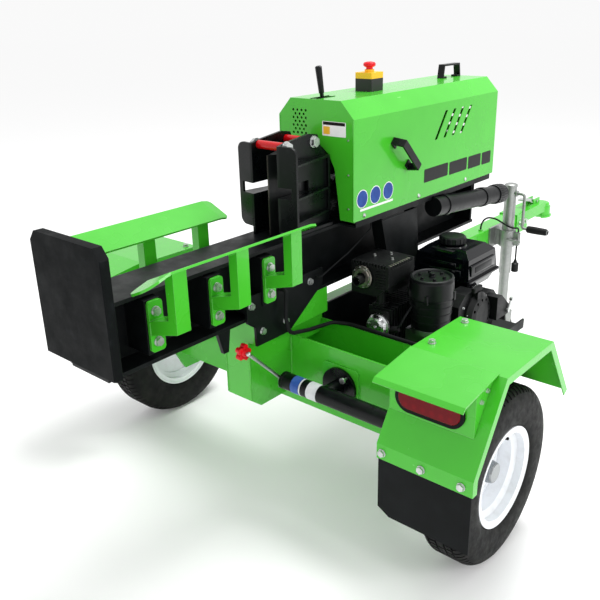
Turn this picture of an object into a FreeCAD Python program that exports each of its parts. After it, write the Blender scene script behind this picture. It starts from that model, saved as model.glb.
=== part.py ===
import FreeCAD, Part
import os
from math import cos, sin, pi, radians, atan2, hypot, tan

# Towable kinetic log splitter, in millimetres.
# +X is the right-hand side of the trailer, +Y points to the hitch, +Z is up.
# Everything is laid out from the axle centre on the ground and moved by Y_SHIFT
# when it is written, so that the origin lies under the middle of the machine.

V = FreeCAD.Vector
X, Y, Z = V(1, 0, 0), V(0, 1, 0), V(0, 0, 1)

# ---- driving dimensions -------------------------------------------------
Y_REAR, Y_NOSE = -767.0, 1812.0            # face of the end plate, tip of the coupler
Y_SHIFT = -(Y_REAR + Y_NOSE) / 2

BEAM_HALF, BEAM_BOTTOM, BEAM_TOP = 74.0, 632.0, 818.0
BEAM_FLANGE, BEAM_WEB, BEAM_END = 10.0, 10.0, 950.0
PLATE_HALF, PLATE_T, PLATE_Z = 136.0, 25.0, (663.0, 969.0)

HOOD_HALF, HOOD_T = 141.0, 3.0
HOOD_Y, HOOD_Z, HOOD_CHAMFER = (95.0, 956.0), (832.0, 1178.0), (47.0, 50.0)

TONGUE_HALF, TONGUE_Z, TONGUE_Y = 38.0, (467.0, 543.0), (-84.0, 1528.0)
TONGUE_WALL = 5.0
CHANNEL_X, CHANNEL_Y, CHANNEL_Z, CHANNEL_T = 524.0, (-90.0, 68.0), (293.0, 515.0), 6.0

AXLE_Y, AXLE_Z, TRACK_HALF = 6.0, 249.0, 653.0
TYRE_R, TYRE_HALF, RIM_R = 249.0, 65.0, 142.0
SPINDLE_R, RUNNING_GAP = 18.0, 0.06

FENDER_X = (524.0, 782.0)
FENDER_T = 3.0
FENDER_LINE = [(-320, 403), (-320, 444), (-190, 647), (57, 647), (186, 460)]

CRADLE_Y = (-608.0, -413.0, -219.0)
CRADLE_BOLT_Z = (696.0, 773.0)
CRADLE_INNER, CRADLE_OUTER, CRADLE_T = (126.0, 866.0), (209.0, 903.0), 6.0

SHAFT_Y, SHAFT_Z, FLYWHEEL_R = 300.0, 985.0, 150.0
CRANK_Y, CRANK_Z = 400.0, 506.0
SHEAVE_X, SHEAVE_R, PULLEY_R = (106.0, 130.0), 38.0, 95.0

STRIP_X, STRIP_T, STRIP_Y = 55.0, 8.0, (-125.0, 88.0)
TIE_Z, TIE_Y = 1072.0, (-95.0, 19.0)

JACK_X, JACK_Y, JACK_R = 95.0, 1226.0, 24.0
JOCKEY_R = 76.0
REAR_JACK_Y, REAR_JACK_Z, REAR_JACK_R = -168.0, 407.0, 25.5
REAR_JACK_X, REAR_PIVOT_X = (92.0, 464.0), 238.0

TUBE_FROM, TUBE_TO, TUBE_R = (141.0, 539.0, 787.0), (141.0, 1034.0, 738.0), 33.0

os.makedirs("parts", exist_ok=True)


# ---- building helpers ---------------------------------------------------
def box(x0, x1, y0, y1, z0, z1):
    return Part.makeBox(x1 - x0, y1 - y0, z1 - z0, V(x0, y0, z0))


def cyl(start, axis, radius, length):
    return Part.makeCylinder(radius, length, V(*start), axis)


def pipe(start, axis, outer, inner, length):
    return cyl(start, axis, outer, length).cut(cyl(start, axis, inner, length))


def rod(start, end, radius):
    run = V(*end) - V(*start)
    return Part.makeCylinder(radius, run.Length, V(*start), run)


def prism(points, along):
    """Straight prism on a closed polygon of 3-D points."""
    corners = [V(*p) for p in points]
    wire = Part.makePolygon(corners + [corners[0]])
    return Part.Face(wire).extrude(V(*along))


def yz_plate(x0, x1, points):
    return prism([(x0, y, z) for y, z in points], (x1 - x0, 0, 0))


def xz_plate(y0, y1, points):
    return prism([(x, y0, z) for x, z in points], (0, y1 - y0, 0))


def xy_plate(z0, z1, points):
    return prism([(x, y, z0) for x, y in points], (0, 0, z1 - z0))


def turned(profile, centre, axis):
    """Solid of revolution: profile holds (distance along axis, radius) pairs."""
    side = Z if abs(axis.z) < 0.5 else X
    corners = [V(*centre) + axis * a + side * r for a, r in profile]
    wire = Part.makePolygon(corners + [corners[0]])
    return Part.Face(wire).revolve(V(*centre), axis, 360)


def fuse(*shapes):
    whole = shapes[0]
    for shape in shapes[1:]:
        whole = whole.fuse(shape)
    return whole.removeSplitter()


def cut(shape, *tools):
    for tool in tools:
        shape = shape.cut(tool)
    return shape.removeSplitter()


def group(*shapes):
    return Part.makeCompound(list(shapes))


def mirrored(shape):
    return shape.mirror(V(0, 0, 0), X)


def edges_along(shape, axis, test):
    """Straight edges parallel to an axis whose middle passes the test."""
    found = []
    for edge in shape.Edges:
        if edge.Curve.TypeId != "Part::GeomLine" or len(edge.Vertexes) < 2:
            continue
        run = (edge.Vertexes[1].Point - edge.Vertexes[0].Point).normalize()
        if abs(abs(run.dot(axis)) - 1) < 1e-6 and test(edge.CenterOfMass):
            found.append(edge)
    return found


def rounded(shape, radius, axis, test=lambda middle: True):
    return shape.makeFillet(radius, edges_along(shape, axis, test))


def bent_rod(points, radius, limit=6.0):
    """Rod or tube on straight runs joined by tangent arcs, at most limit radii wide."""
    places = [V(*p) for p in points]
    pieces, start = [], places[0]
    for before, corner, after in zip(places, places[1:], places[2:]):
        first, second = corner - before, after - corner
        turn = first.getAngle(second)
        bend = 0.45 * min(first.Length, second.Length) / tan(turn / 2)
        if limit:
            bend = min(bend, limit * radius)
        back = bend * tan(turn / 2)
        a = corner - V(first).normalize() * back
        b = corner + V(second).normalize() * back
        inward = (V(second).normalize() - V(first).normalize()).normalize()
        middle = corner + inward * (bend / cos(turn / 2) - bend)
        pieces.append(Part.LineSegment(start, a).toShape())
        pieces.append(Part.Arc(a, middle, b).toShape())
        start = b
    pieces.append(Part.LineSegment(start, places[-1]).toShape())
    path = Part.Wire(pieces)
    ring = Part.Wire(Part.makeCircle(radius, places[0], places[1] - places[0]))
    return path.makePipeShell([ring], True, False)


def hex_bolt(head, axis, size, shank):
    """Hexagon-head bolt with its washer; head is the point under the washer."""
    washer = cyl(head, axis, size * 1.05, size * 0.2)
    ref = Z if abs(axis.z) < 0.5 else X
    other = axis.cross(ref)
    seat = V(*head) + axis * (size * 0.2)
    corners = [seat + ref * (size * 0.92 * cos(k * pi / 3)) + other * (size * 0.92 * sin(k * pi / 3))
               for k in range(6)]
    cap = Part.Face(Part.makePolygon(corners + [corners[0]])).extrude(axis * (size * 0.65))
    stem = Part.makeCylinder(size / 2, shank, V(*head), axis * -1)
    return fuse(washer, cap, stem)


def bolt_hole(head, axis, size, shank):
    return Part.makeCylinder(size / 2, shank + 0.5, V(*head), axis * -1)


def save(node, shape):
    moved = shape.copy()
    moved.translate(V(0, Y_SHIFT, 0))
    moved.exportStep("parts/%s.step" % node)


# ---- beam, end plate, log cradle ---------------------------------------
CRADLE_BOLTS = [(94.0, y, z) for y in CRADLE_Y for z in CRADLE_BOLT_Z]


def main_beam():
    """Rolled beam with everything that is welded on it."""
    y0, y1 = Y_REAR + PLATE_T, BEAM_END
    half, web, t = BEAM_HALF, BEAM_WEB / 2, BEAM_FLANGE
    top, low = BEAM_TOP, BEAM_BOTTOM
    outline = [(-half, low), (half, low), (half, low + t), (web, low + t), (web, top - t),
               (half, top - t), (half, top), (-half, top), (-half, top - t), (-web, top - t),
               (-web, low + t), (-half, low + t)]
    right = [box(web, half, y, y + 10, low + t, top - t) for y in (y0, 930.0)]
    right += cradle_pads() + saddle_fillers() + [hood_rail()]
    left = [mirrored(piece) for piece in right]
    return fuse(xz_plate(y0, y1, outline), *right, *left, tapered_lug())


def end_plate():
    z0, z1 = PLATE_Z
    dx, dz = 22.0, 26.5
    outline = [(-PLATE_HALF, z0), (PLATE_HALF, z0), (PLATE_HALF, z1 - dz), (PLATE_HALF - dx, z1),
               (-PLATE_HALF + dx, z1), (-PLATE_HALF, z1 - dz)]
    plate = xz_plate(Y_REAR, Y_REAR + PLATE_T, outline)
    return plate.makeChamfer(2.0, edges_along(plate, Z, lambda m: True))


def cradle_pads():
    """Pads that carry the right-hand cradle flanges clear of the beam web."""
    pads = []
    for y in CRADLE_Y:
        pad = box(BEAM_WEB / 2, 86, y - 24, y + 20, 664, 802)
        pads.append(cut(pad, *[bolt_hole((94, y, z), X, 12.0, 40.0) for z in CRADLE_BOLT_Z]))
    return pads


def sloping_plate(y0, y1, drop, radius):
    """Length of the cradle bar from y0 to y1 that falls by drop, round at its far corners."""
    (xi, zi), (xo, zo) = CRADLE_INNER, CRADLE_OUTER
    across = V(xo - xi, 0, zo - zi)
    width = across.Length
    across.normalize()
    along = V(0, y1 - y0, -drop)
    length = along.Length
    along.normalize()
    outline = [(0, 0), (width, 0)]
    for centre, turn in (((width - radius, length - radius), 0), ((radius, length - radius), 90)):
        for k in range(5):
            a = radians(turn + 22.5 * k)
            outline.append((centre[0] + radius * cos(a), centre[1] + radius * sin(a)))
    corner = V(xi, y0, zi)
    places = [corner + across * u + along * v for u, v in outline]
    down = V(across.z, 0, -across.x) * CRADLE_T
    return prism([tuple(q) for q in places], tuple(down))


def cradle():
    """Right-hand log cradle: a sloping flat bar welded on three cranked brackets."""
    (xi, zi), (xo, zo) = CRADLE_INNER, CRADLE_OUTER
    rise = (zo - zi) / (xo - xi)
    bar = sloping_plate(-420, -180, 0, 0.5).fuse(sloping_plate(-420, -644, 0, 0.5))
    whole = fuse(bar, sloping_plate(-644, -706, 19, 30.0), sloping_plate(-180, -150, 5, 14.0))
    low = zi - CRADLE_T - 0.5
    below_bar = prism([(60, -800, low - (xi - 60) * rise), (260, -800, low + (260 - xi) * rise),
                       (260, -800, 400), (60, -800, 400)], (0, 800, 0))
    for y in CRADLE_Y:
        flange = rounded(box(86, 94, y - 20, y + 22, 670, 799), 9.0, X)
        flange = cut(flange, *[bolt_hole((94.0, y, z), X, 12.0, 20.0) for z in CRADLE_BOLT_Z])
        arm = xz_plate(y - 20, y + 20, [(94, 716), (194, 744), (194, 772), (166, 772), (94, 752)])
        post = box(166, 194, y - 20, y + 20, 744, 940)
        bore = xz_plate(y - 16.5, y + 16.5, [(94, 720), (190, 747), (190, 960), (170, 960), (170, 769),
                                             (94, 748)])
        whole = fuse(whole, fuse(arm, post).cut(bore).common(below_bar), flange)
    return whole


def cradle_bolts():
    return both([hex_bolt(place, X, 12.0, 34.0) for place in CRADLE_BOLTS])


def both(shapes):
    """The right-hand shapes and their left-hand mirror images."""
    return shapes + [mirrored(shape) for shape in shapes]


# ---- pedestal, channel, tongue -----------------------------------------
PEDESTAL_HALF = 46.5
SADDLE_BOLTS = [(82.0, y, z) for y, z in ((-245, 590), (-150, 590), (-285, 676), (-40, 676))]


def saddle_plate():
    """Black gusset bolted over the beam flange and the pedestal head."""
    outline = [(-268, 550), (-134, 550), (20, 655), (20, 704), (-300, 704), (-300, 628), (-270, 606)]
    plate = yz_plate(BEAM_HALF, 82, outline)
    notch = box(BEAM_HALF - 1, 83, CRADLE_Y[2] - 24.5, CRADLE_Y[2] + 22.5, 663.5, 705)
    return cut(plate, notch, *[bolt_hole(p, X, 10.0, 20.0) for p in SADDLE_BOLTS])


def saddle_fillers():
    """Blocks inside the beam that take the upper saddle bolts."""
    blocks = []
    for y in (-285, -40):
        block = box(BEAM_WEB / 2, BEAM_HALF, y - 14, y + 14, 656, 696)
        blocks.append(block.cut(bolt_hole((82, y, 676), X, 10.0, 30.0)))
    return blocks


def saddle_bolts():
    return both([hex_bolt(place, X, 10.0, 20.0) for place in SADDLE_BOLTS])


def pedestal():
    half, inner = PEDESTAL_HALF, TONGUE_HALF + 0.5
    side = yz_plate(inner, half, [(-268, 366), (-228, 335), (CHANNEL_Y[0], 335), (CHANNEL_Y[0], 552),
                                  (-268, 552)])
    back = box(-half, half, -268, -260, 366, 552)
    head = box(-74, 74, -268, 50, 552, 632).cut(box(-66, 66, -260, 42, 552, 624))
    floor = box(-74, 74, -268, 50, 552, 560).cut(box(-inner, inner, -260, 42, 552, 560))
    whole = fuse(head, floor, back, side, mirrored(side))
    lower = [p for p in SADDLE_BOLTS if p[2] < 600]
    return cut(whole, *[bolt_hole(p, X, 10.0, 24.0) for p in lower],
               *[mirrored(bolt_hole(p, X, 10.0, 24.0)) for p in lower])


def tapered_lug():
    """Stop lug under the beam, right of its middle."""
    return yz_plate(56, 68, [(-398, 633), (-352, 633), (-362, 566), (-380, 566)])


def cross_channel():
    """Folded cross member with the pedestal, wheel brackets and rear jack plate welded on it."""
    (y0, y1), (z0, z1), t = CHANNEL_Y, CHANNEL_Z, CHANNEL_T
    body = box(-CHANNEL_X, CHANNEL_X, y0, y1, z0, z1)
    body = body.cut(box(-CHANNEL_X + t, CHANNEL_X - t, y0 + t, y1 - t, z0 + t, z1))
    body = rounded(body, 8.0, X, lambda m: m.z < z0 + 0.1)
    gap = 0.3
    notch = box(-TONGUE_HALF - gap, TONGUE_HALF + gap, y0 + t, y1 + 1, TONGUE_Z[0] - gap, z1 + 1)
    drains = [cyl((s * x, -10, z0 - 1), Z, 9.0, t + 2) for s in (1, -1) for x in (140, 300, 460)]
    arms = both([wheel_bracket()])
    return fuse(cut(body, notch, *drains), pedestal(), rear_jack_mount(), *arms)


def tongue():
    (y0, y1), (z0, z1), h, w = TONGUE_Y, TONGUE_Z, TONGUE_HALF, TONGUE_WALL
    tube = rounded(box(-h, h, y0, y1, z0, z1), 6.0, Y)
    bore = rounded(box(-h + w, h - w, y0 - 1, y1 + 1, z0 + w, z1 - w), 3.0, Y)
    holes = [cyl((-h - 1, y, 505), X, 6.0, 2 * h + 2) for y in COUPLER_BOLT_Y]
    gland = cyl((LEAD[0][0], LEAD[0][1], z1), Z, 9.0, LEAD[0][2] - z1)
    return fuse(cut(tube, bore, *holes), gland)


def engine_tray():
    """Folded tray hung from the tongue side; the engine bolts down on it."""
    base = box(38, 452, 68, 640, 392, 400)
    wall = box(38, 46, 68, 640, 400, 560)
    edge = box(446, 452, 68, 640, 400, 424)
    brace = yz_plate(46, 300, [(632, 400), (640, 400), (640, 440), (632, 440)])
    slots = [box(x - 5.5, x + 5.5, y - 12, y + 12, 391, 401) for x, y in ENGINE_FEET]
    return cut(fuse(base, wall, edge, brace), *slots)


# ---- wheels, fenders, lights -------------------------------------------
def wheel_bracket():
    """Drop plate with the spindle; its foot carries the fender."""
    plate = yz_plate(CHANNEL_X, CHANNEL_X + 12, [(-90, 515), (-90, 300), (-40, 205), (52, 205), (68, 300),
                                                 (68, 515), (52, 643.8), (-160, 643.8), (-150, 600)])
    foot = box(CHANNEL_X, 584, -160, 52, 638, 643.8)
    spindle = cyl((CHANNEL_X, AXLE_Y, AXLE_Z), X, SPINDLE_R, 142)
    collar = cyl((CHANNEL_X + 12, AXLE_Y, AXLE_Z), X, 27.0, 40)
    holes = [bolt_hole((x, y, 650), Z, 10.0, 20.0) for x, y in FENDER_TOP_BOLTS]
    return cut(fuse(plate, foot, spindle, collar), *holes)


FENDER_TOP_BOLTS = [(553.0, -132.0), (553.0, 30.0)]
LIP_BOLT_X = (540.0, 649.0, 753.0)


def inset(line, t):
    """Profile moved inward by t, for a folded sheet."""
    out = []
    for i, (y, z) in enumerate(line):
        normals = []
        for a, b in ((i - 1, i), (i, i + 1)):
            if a < 0 or b >= len(line):
                continue
            dy, dz = line[b][0] - line[a][0], line[b][1] - line[a][1]
            size = hypot(dy, dz)
            normals.append((dz / size, -dy / size))
        if len(normals) == 1:
            ny, nz = normals[0]
            out.append((y + ny * t, z + nz * t))
        else:
            (ay, az), (by, bz) = normals
            k = t / (1 + ay * by + az * bz)
            out.append((y + (ay + by) * k, z + (az + bz) * k))
    return out


def fender():
    x0, x1 = FENDER_X
    sheet = yz_plate(x0, x1, FENDER_LINE + inset(FENDER_LINE, FENDER_T)[::-1])
    rim = yz_plate(x1 - FENDER_T, x1, FENDER_LINE + inset(FENDER_LINE, 20.0)[::-1])
    holes = [bolt_hole((x, y, 650), Z, 10.0, 12.0) for x, y in FENDER_TOP_BOLTS]
    holes += [bolt_hole((x, -325, 422), Y * -1, 10.0, 20.0) for x in LIP_BOLT_X]
    wires = cyl((600, -250, 400), Z, 9.0, 200)
    return cut(fuse(sheet, rim), wires, *holes)


LIGHT_X, LIGHT_Z, LIGHT_Y = 637.0, 566.0, -272.0
LIGHT_HALF, LIGHT_R = 54.0, 28.5


def oval(y0, y1, half, radius, centre_x=LIGHT_X):
    """Flat-sided oval prism along Y."""
    ends = [cyl((centre_x + s * half, y0, LIGHT_Z), Y, radius, y1 - y0) for s in (-1, 1)]
    middle = box(centre_x - half, centre_x + half, y0, y1, LIGHT_Z - radius, LIGHT_Z + radius)
    return fuse(middle, *ends)


def light_box():
    """Folded hood over the fender slope that carries the tail light."""
    t = FENDER_T
    top = yz_plate(526, 760, [(-186, 651), (-336, 630), (-346, 620), (-344, 617.5), (-335, 627), (-186, 648)])
    back = box(526, 752, LIGHT_Y, LIGHT_Y + t, 514, 636)
    slope = [(LIGHT_Y, 520.5), (LIGHT_Y, 638), (-190, 650), (-190, 648.6)]
    sides = [yz_plate(x, x + t, slope) for x in (526, 749)]
    below = yz_plate(500, 800, [(-360, 382.0), (-320, 444.4), (-190, 647.4), (-186, 647.4), (-186, 300),
                                (-360, 300)])
    hole = oval(LIGHT_Y - 1, LIGHT_Y + t + 1, LIGHT_HALF, LIGHT_R + 6)
    return cut(fuse(top, back, *sides), below, hole, *[bolt_hole(p, X, 6.0, 10.0) for p in LIGHT_BOLTS])


def light_grommet():
    seat = oval(LIGHT_Y - 7, LIGHT_Y + 8, LIGHT_HALF, LIGHT_R + 5.8)
    collar = oval(LIGHT_Y - 7, LIGHT_Y - 0.05, LIGHT_HALF, LIGHT_R + 9)
    pocket = oval(LIGHT_Y - 9, LIGHT_Y + 5, LIGHT_HALF, LIGHT_R)
    return cut(fuse(seat, collar), pocket)


def light_lens():
    lens = oval(LIGHT_Y - 10, LIGHT_Y + 5, LIGHT_HALF, LIGHT_R - 0.05)
    rim = [e for e in lens.Edges if abs(e.CenterOfMass.y - (LIGHT_Y - 10)) < 0.1]
    return lens.makeFillet(4.0, rim)


LIGHT_BOLTS = [(752.0, -224.0, 622.0), (752.0, -250.0, 604.0)]


def light_box_bolts():
    return both([hex_bolt(place, X, 6.0, 6.0) for place in LIGHT_BOLTS])


def mud_flap():
    flap = xz_plate(-316.9, -311.9, [(527, 442), (778, 442), (778, 243), (560, 243), (527, 262)])
    return cut(flap, *[bolt_hole((x, -325, 422), Y * -1, 10.0, 20.0) for x in LIP_BOLT_X])


def fender_bolts():
    bolts = [hex_bolt((x, y, 647), Z, 10.0, 14.0) for x, y in FENDER_TOP_BOLTS]
    bolts += [hex_bolt((x, -320, 422), Y * -1, 10.0, 16.0) for x in LIP_BOLT_X]
    return both(bolts)


def tyre():
    centre = (TRACK_HALF, AXLE_Y, AXLE_Z)
    bead, half = RIM_R - 14, TYRE_HALF
    outer = [(-half + 14.5, bead), (-half + 14.5, RIM_R - 5.5), (-half + 11, RIM_R + 1),
             (-half + 6, RIM_R + 5), (-half, bead + 50), (-half + 1, TYRE_R - 38),
             (-half + 7, TYRE_R - 13), (-half + 18, TYRE_R - 3), (-half + 36, TYRE_R)]
    inner = [(-half + 27, bead), (-half + 20, bead + 18), (-half + 14, bead + 50), (-half + 15, TYRE_R - 42),
             (-half + 26, TYRE_R - 18), (-half + 42, TYRE_R - 14)]
    profile = outer + [(-a, r) for a, r in outer[::-1]] + [(-a, r) for a, r in inner] + inner[::-1]
    return turned(profile, centre, X)


def wheel_rim():
    """Pressed rim with its dished centre, and the turned hub with its grease cap welded in it."""
    centre = (TRACK_HALF, AXLE_Y, AXLE_Z)
    bead = RIM_R - 14
    seat = bead - 0.3
    barrel = [(-58, RIM_R), (-54, RIM_R), (-50.5, RIM_R - 6), (-50.5, seat), (-34, seat), (-26, 112),
              (20, 112), (30, seat), (50.5, seat), (50.5, RIM_R - 6), (54, RIM_R), (58, RIM_R),
              (58, RIM_R - 3), (54, RIM_R - 9), (54, bead - 5), (32, bead - 5), (22, 107.5), (-28, 107.5),
              (-36, bead - 5), (-54, bead - 5), (-54, RIM_R - 9), (-58, RIM_R - 3)]
    dish = [(-20, 109), (-16, 109), (-12, 84), (-6, 62), (-6, 34), (-10, 34), (-10, 60), (-16, 82)]
    valve_hole = cyl((TRACK_HALF + 20, AXLE_Y, AXLE_Z + 118), X, 5.0, 40)
    shell = fuse(turned(barrel, centre, X), turned(dish, centre, X)).cut(valve_hole)
    bore = SPINDLE_R + RUNNING_GAP
    boss = turned([(-74, bore), (-74, 34), (-40, 34), (-36, 38), (-3, 38), (-3, 34), (26, 29), (30, 26), (30, 0),
                   (26, 0), (26, 22), (6, 22), (6, bore)], centre, X)
    return fuse(shell, boss)


# ---- hood and its fittings ----------------------------------------------
def hood():
    (y0, y1), (z0, z1), (dx, dz), t = HOOD_Y, HOOD_Z, HOOD_CHAMFER, HOOD_T
    w = HOOD_HALF

    def ring(inner):
        k = inner * 0.42
        return [(-w + inner, z0), (w - inner, z0), (w - inner, z1 - dz - k), (w - dx - k, z1 - inner),
                (-w + dx + k, z1 - inner), (-w + inner, z1 - dz - k)]
    skin = xz_plate(y0, y1, ring(0)).cut(xz_plate(y0 + t, y1 - t, ring(t)))
    arch = [(-90, 800), (90, 800), (90, 835), (82, 900), (76, 941), (70, 985), (48, 1025), (20, 1047),
            (-20, 1047), (-48, 1025), (-70, 985), (-76, 941), (-82, 900), (-90, 835)]
    cuts = [xz_plate(y0 - 1, y0 + t + 1, arch)]
    for k in range(4):
        y = 532 + 54 * k
        cuts.append(yz_plate(w - t - 1, w + 1, [(y, 1012), (y + 16, 1012), (y + 78, 1100), (y + 62, 1100)]))
    for row in range(7):
        for col in range(3 if row % 2 else 4):
            x = -84 + col * 16 + (8 if row % 2 else 0)
            cuts.append(cyl((x, y0 - 1, 1078 + row * 11), Y, 4.0, t + 2))
    cuts.append(box(-20, 4, 102, 182, z1 - t - 1, z1 + 1))
    cuts += [box(-60, 60, y1 - t - 1, y1 + 1, 900 + 32 * k, 910 + 32 * k) for k in range(6)]
    cuts += [cyl((s * (w + 1) if s < 0 else w - t - 1, y, 844), X, 3.1, t + 2)
             for s in (1, -1) for y in HOOD_SCREW_Y]
    cuts.append(box(-90, 90, y1 - t - 1, y1 + 1, z0 - 1, 852))
    return fuse(cut(skin, *cuts), *lever_cheeks())


HOOD_SCREW_Y = (146.0, 445.0, 750.0)


def hood_rail():
    """Angle welded to the beam edge; the hood screws to its upright leg."""
    w = HOOD_HALF - HOOD_T
    flat = box(BEAM_HALF, w, 110, 940, 812, 818)
    leg = box(w - 4, w, 110, 940, 818, 856)
    holes = [cyl((w - 6, y, 844), X, 3.1, 8) for y in HOOD_SCREW_Y]
    belt = box(98, w - 5, 226, 456, 811, 819)
    start, along, length = tube_frame()
    tube_room = Part.makeCylinder(TUBE_R + 3.6, length + 20, start - along * 10, along)
    return cut(fuse(flat, leg), belt, tube_room, *holes)


def hood_screws():
    screws = []
    for y in HOOD_SCREW_Y:
        head = turned([(0, 0), (0, 7), (2, 6.4), (4.2, 3.5), (4.2, 0)], (HOOD_HALF, y, 844), X)
        screws.append(fuse(head, cyl((HOOD_HALF - 10, y, 844), X, 3.0, 10)))
    return both(screws)


HANDLE_WIDTH, HANDLE_T, HANDLE_FOOT = 24.0, 6.0, 26.0


def strap_handle(start, end, out, rise):
    """Flat bar bent into a pull that stands on two inward feet, each with its screw."""
    along = (end - start).normalize()
    span = (end - start).Length
    side = along.cross(out)
    t, foot, lean = HANDLE_T, HANDLE_FOOT, 8.0

    def corner(run, height):
        return tuple(start + along * run + out * height - side * (HANDLE_WIDTH / 2))
    left = [(foot, t), (foot, 0), (0, 0), (lean, rise)]
    right = [(span - lean, rise), (span, 0), (span - foot, 0), (span - foot, t)]
    inside = [(span - t - 1, t), (span - lean - t + 1, rise - t), (lean + t - 1, rise - t), (t + 1, t)]
    bar = prism([corner(*point) for point in left + right + inside], tuple(side * HANDLE_WIDTH))
    screws = [cyl(tuple(start + along * run + out * t), out, 5.5, 3.5) for run in (foot - 8, span - foot + 8)]
    return fuse(bar, *screws)


def side_handle():
    """Pull set at 45 degrees on the hood side."""
    return strap_handle(V(HOOD_HALF, 286, 1046), V(HOOD_HALF, 384, 948), X, 44.0)


def top_handle():
    return strap_handle(V(-15, 812, HOOD_Z[1]), V(-15, 936, HOOD_Z[1]), Z, 47.0)


def control_lever():
    """Leaning hand lever with its moulded grip, on a cross pin."""
    pin = V(-8, 152, 1100)
    along = V(-5, -23, 164).normalize()
    grip = Part.makeCone(8.0, 10.0, 74, pin + along * 92, along)
    cap = Part.makeCone(10.0, 7.0, 3, pin + along * 166, along)
    return fuse(rod(tuple(pin), tuple(pin + along * 120), 6.0), cyl((-18, 152, 1100), X, 9.0, 20),
                cyl((-24, 152, 1100), X, 4.0, 32), grip, cap)


def lever_cheeks():
    """Two lugs under the hood roof that hold the lever's pin."""
    cheeks = [box(x, x + 6, 132, 172, 1084, 1176) for x in (-26, 4)]
    return [cut(c, cyl((-30, 152, 1100), X, 4.0 + RUNNING_GAP, 44)) for c in cheeks]


def estop_housing():
    """Button box: lower body, cover and threaded neck."""
    body = rounded(box(-33, 32, 329, 394, 1178, 1234), 6.0, Z)
    neck = cyl((0, 361.5, 1234), Z, 15.0, 8)
    return cut(fuse(body, neck), cyl((0, 361.5, 1190), Z, 11.0, 60))


def estop_button():
    cap = turned([(0, 0), (0, 14), (4, 19), (10, 19.5), (14, 16), (16, 8), (16.5, 0)], (0, 361.5, 1249), Z)
    return fuse(cap, cyl((0, 361.5, 1200), Z, 10.5, 49))


# ---- stripper and ram ----------------------------------------------------
def stripper():
    """Right-hand stripper plate: upright, swept front wing, ribs and a folded-over window."""
    x, t, (y0, y1) = STRIP_X, STRIP_T, STRIP_Y
    upright = yz_plate(x - t, x, [(y0, 818), (y1, 818), (76, 1030), (52, 1056), (38, 1090), (0, 1096),
                                  (-100, 1084), (y0, 1078)])
    wing = xy_plate(841, 1079, [(x - t, y0), (x, y0), (x + 54, y0 + 8), (x + 54, y0 + 16), (x, y0 + 8),
                                (x - t, y0 + 8)])
    rib = [(x, y0 + 8), (x + 46, y0 + 15), (x + 12, 78), (x, 78)]
    ribs = [xy_plate(z, z + 6, rib) for z in (1022, 930, 862)]
    edge = box(x, x + 10, 74, 82, 868, 1022)
    foot = box(x, x + 16, -60, 86, 818, 828)
    corner = corner_cutter(x + 54.5, 1079, 24.0, 1).fuse(corner_cutter(x + 54.5, 841, 24.0, -1))
    window = box(x - t - 1, x + 38, y0 - 1, -4, 936.5, 967)
    ties = [cyl((x - t - 1, y, TIE_Z), X, 8.0, 30) for y in TIE_Y]
    return cut(fuse(upright, wing, *ribs, edge, foot), window, corner, *ties)


def corner_cutter(x, z, radius, up):
    """Tool that rounds a plate corner at x, z in the XZ plane."""
    y0, length = STRIP_Y[0] - 2, 24
    low, high = sorted((z + up * 2, z - up * radius))
    block = box(x - radius, x + 2, y0, y0 + length, low, high)
    return block.cut(cyl((x - radius, y0, z - up * radius), Y, radius, length))


def tie_bolts():
    bolts = []
    for y in TIE_Y:
        through = hex_bolt((STRIP_X, y, TIE_Z), X, 16.0, 118.0)
        bolts.append(fuse(through, mirrored(hex_bolt((STRIP_X, y, TIE_Z), X, 16.0, 6.0))))
    return bolts


def tie_sleeves():
    inside = STRIP_X - STRIP_T
    return group(*[pipe((-inside, y, TIE_Z), X, 12.0, 8.0, 2 * inside) for y in TIE_Y])


WEDGE_TIP, WEDGE_TOP = -115.0, 1048.0


def wedge():
    blade = xy_plate(819, WEDGE_TOP, [(0, WEDGE_TIP), (8, -92), (40, -20), (40, 42), (-40, 42), (-40, -20),
                                      (-8, -92)])
    slope = yz_plate(-60, 60, [(-20, WEDGE_TOP + 1), (60, WEDGE_TOP + 1), (60, 1010), (10, WEDGE_TOP + 0.5)])
    return cut(blade, slope)


def ram():
    """Ram bar with the rack cut in its top edge."""
    y0, y1 = 42.0, 925.0
    bar = box(-20, 20, y0, y1, 819, 932)
    teeth = [rack_tooth(y) for y in frange(132, y1 - 24, 22.0)]
    return fuse(bar, *teeth)


def rack_tooth(y):
    return yz_plate(-20, 20, [(y, 932), (y + 14, 932), (y + 10, 943), (y + 4, 943)])


def frange(start, stop, step):
    values = []
    while start < stop:
        values.append(start)
        start += step
    return values


def bearing_plate():
    """Upright beside the ram with the shaft's bearing ring pressed in."""
    plate = yz_plate(40, 50, [(190, 818), (410, 818), (380, 960), (340, 1040), (260, 1040), (220, 960)])
    ring = turned([(38, 20 + RUNNING_GAP), (52, 20 + RUNNING_GAP), (52, 32), (38, 32)],
                  (0, SHAFT_Y, SHAFT_Z), X)
    return fuse(cut(plate, cyl((39, SHAFT_Y, SHAFT_Z), X, 26.0, 12)), ring)


def pinion_shaft():
    centre = (0, SHAFT_Y, SHAFT_Z)
    shaft = cyl((-102, SHAFT_Y, SHAFT_Z), X, 20.0, 234)
    gear = cyl((-22, SHAFT_Y, SHAFT_Z), X, 32.0, 44)
    tooth = pinion_tooth()
    teeth = []
    for k in range(11):
        copy = tooth.copy()
        copy.rotate(V(*centre), X, (k + 0.5) * 360 / 11)
        teeth.append(copy)
    pulley = grooved(*SHEAVE_X, PULLEY_R, 20.0, centre)
    return group(fuse(shaft, gear, *teeth), pulley)


def pinion_tooth():
    y, z = SHAFT_Y, SHAFT_Z
    return yz_plate(-22, 22, [(y - 7, z - 31), (y + 7, z - 31), (y + 3, z - 40), (y - 3, z - 40)])


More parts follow.
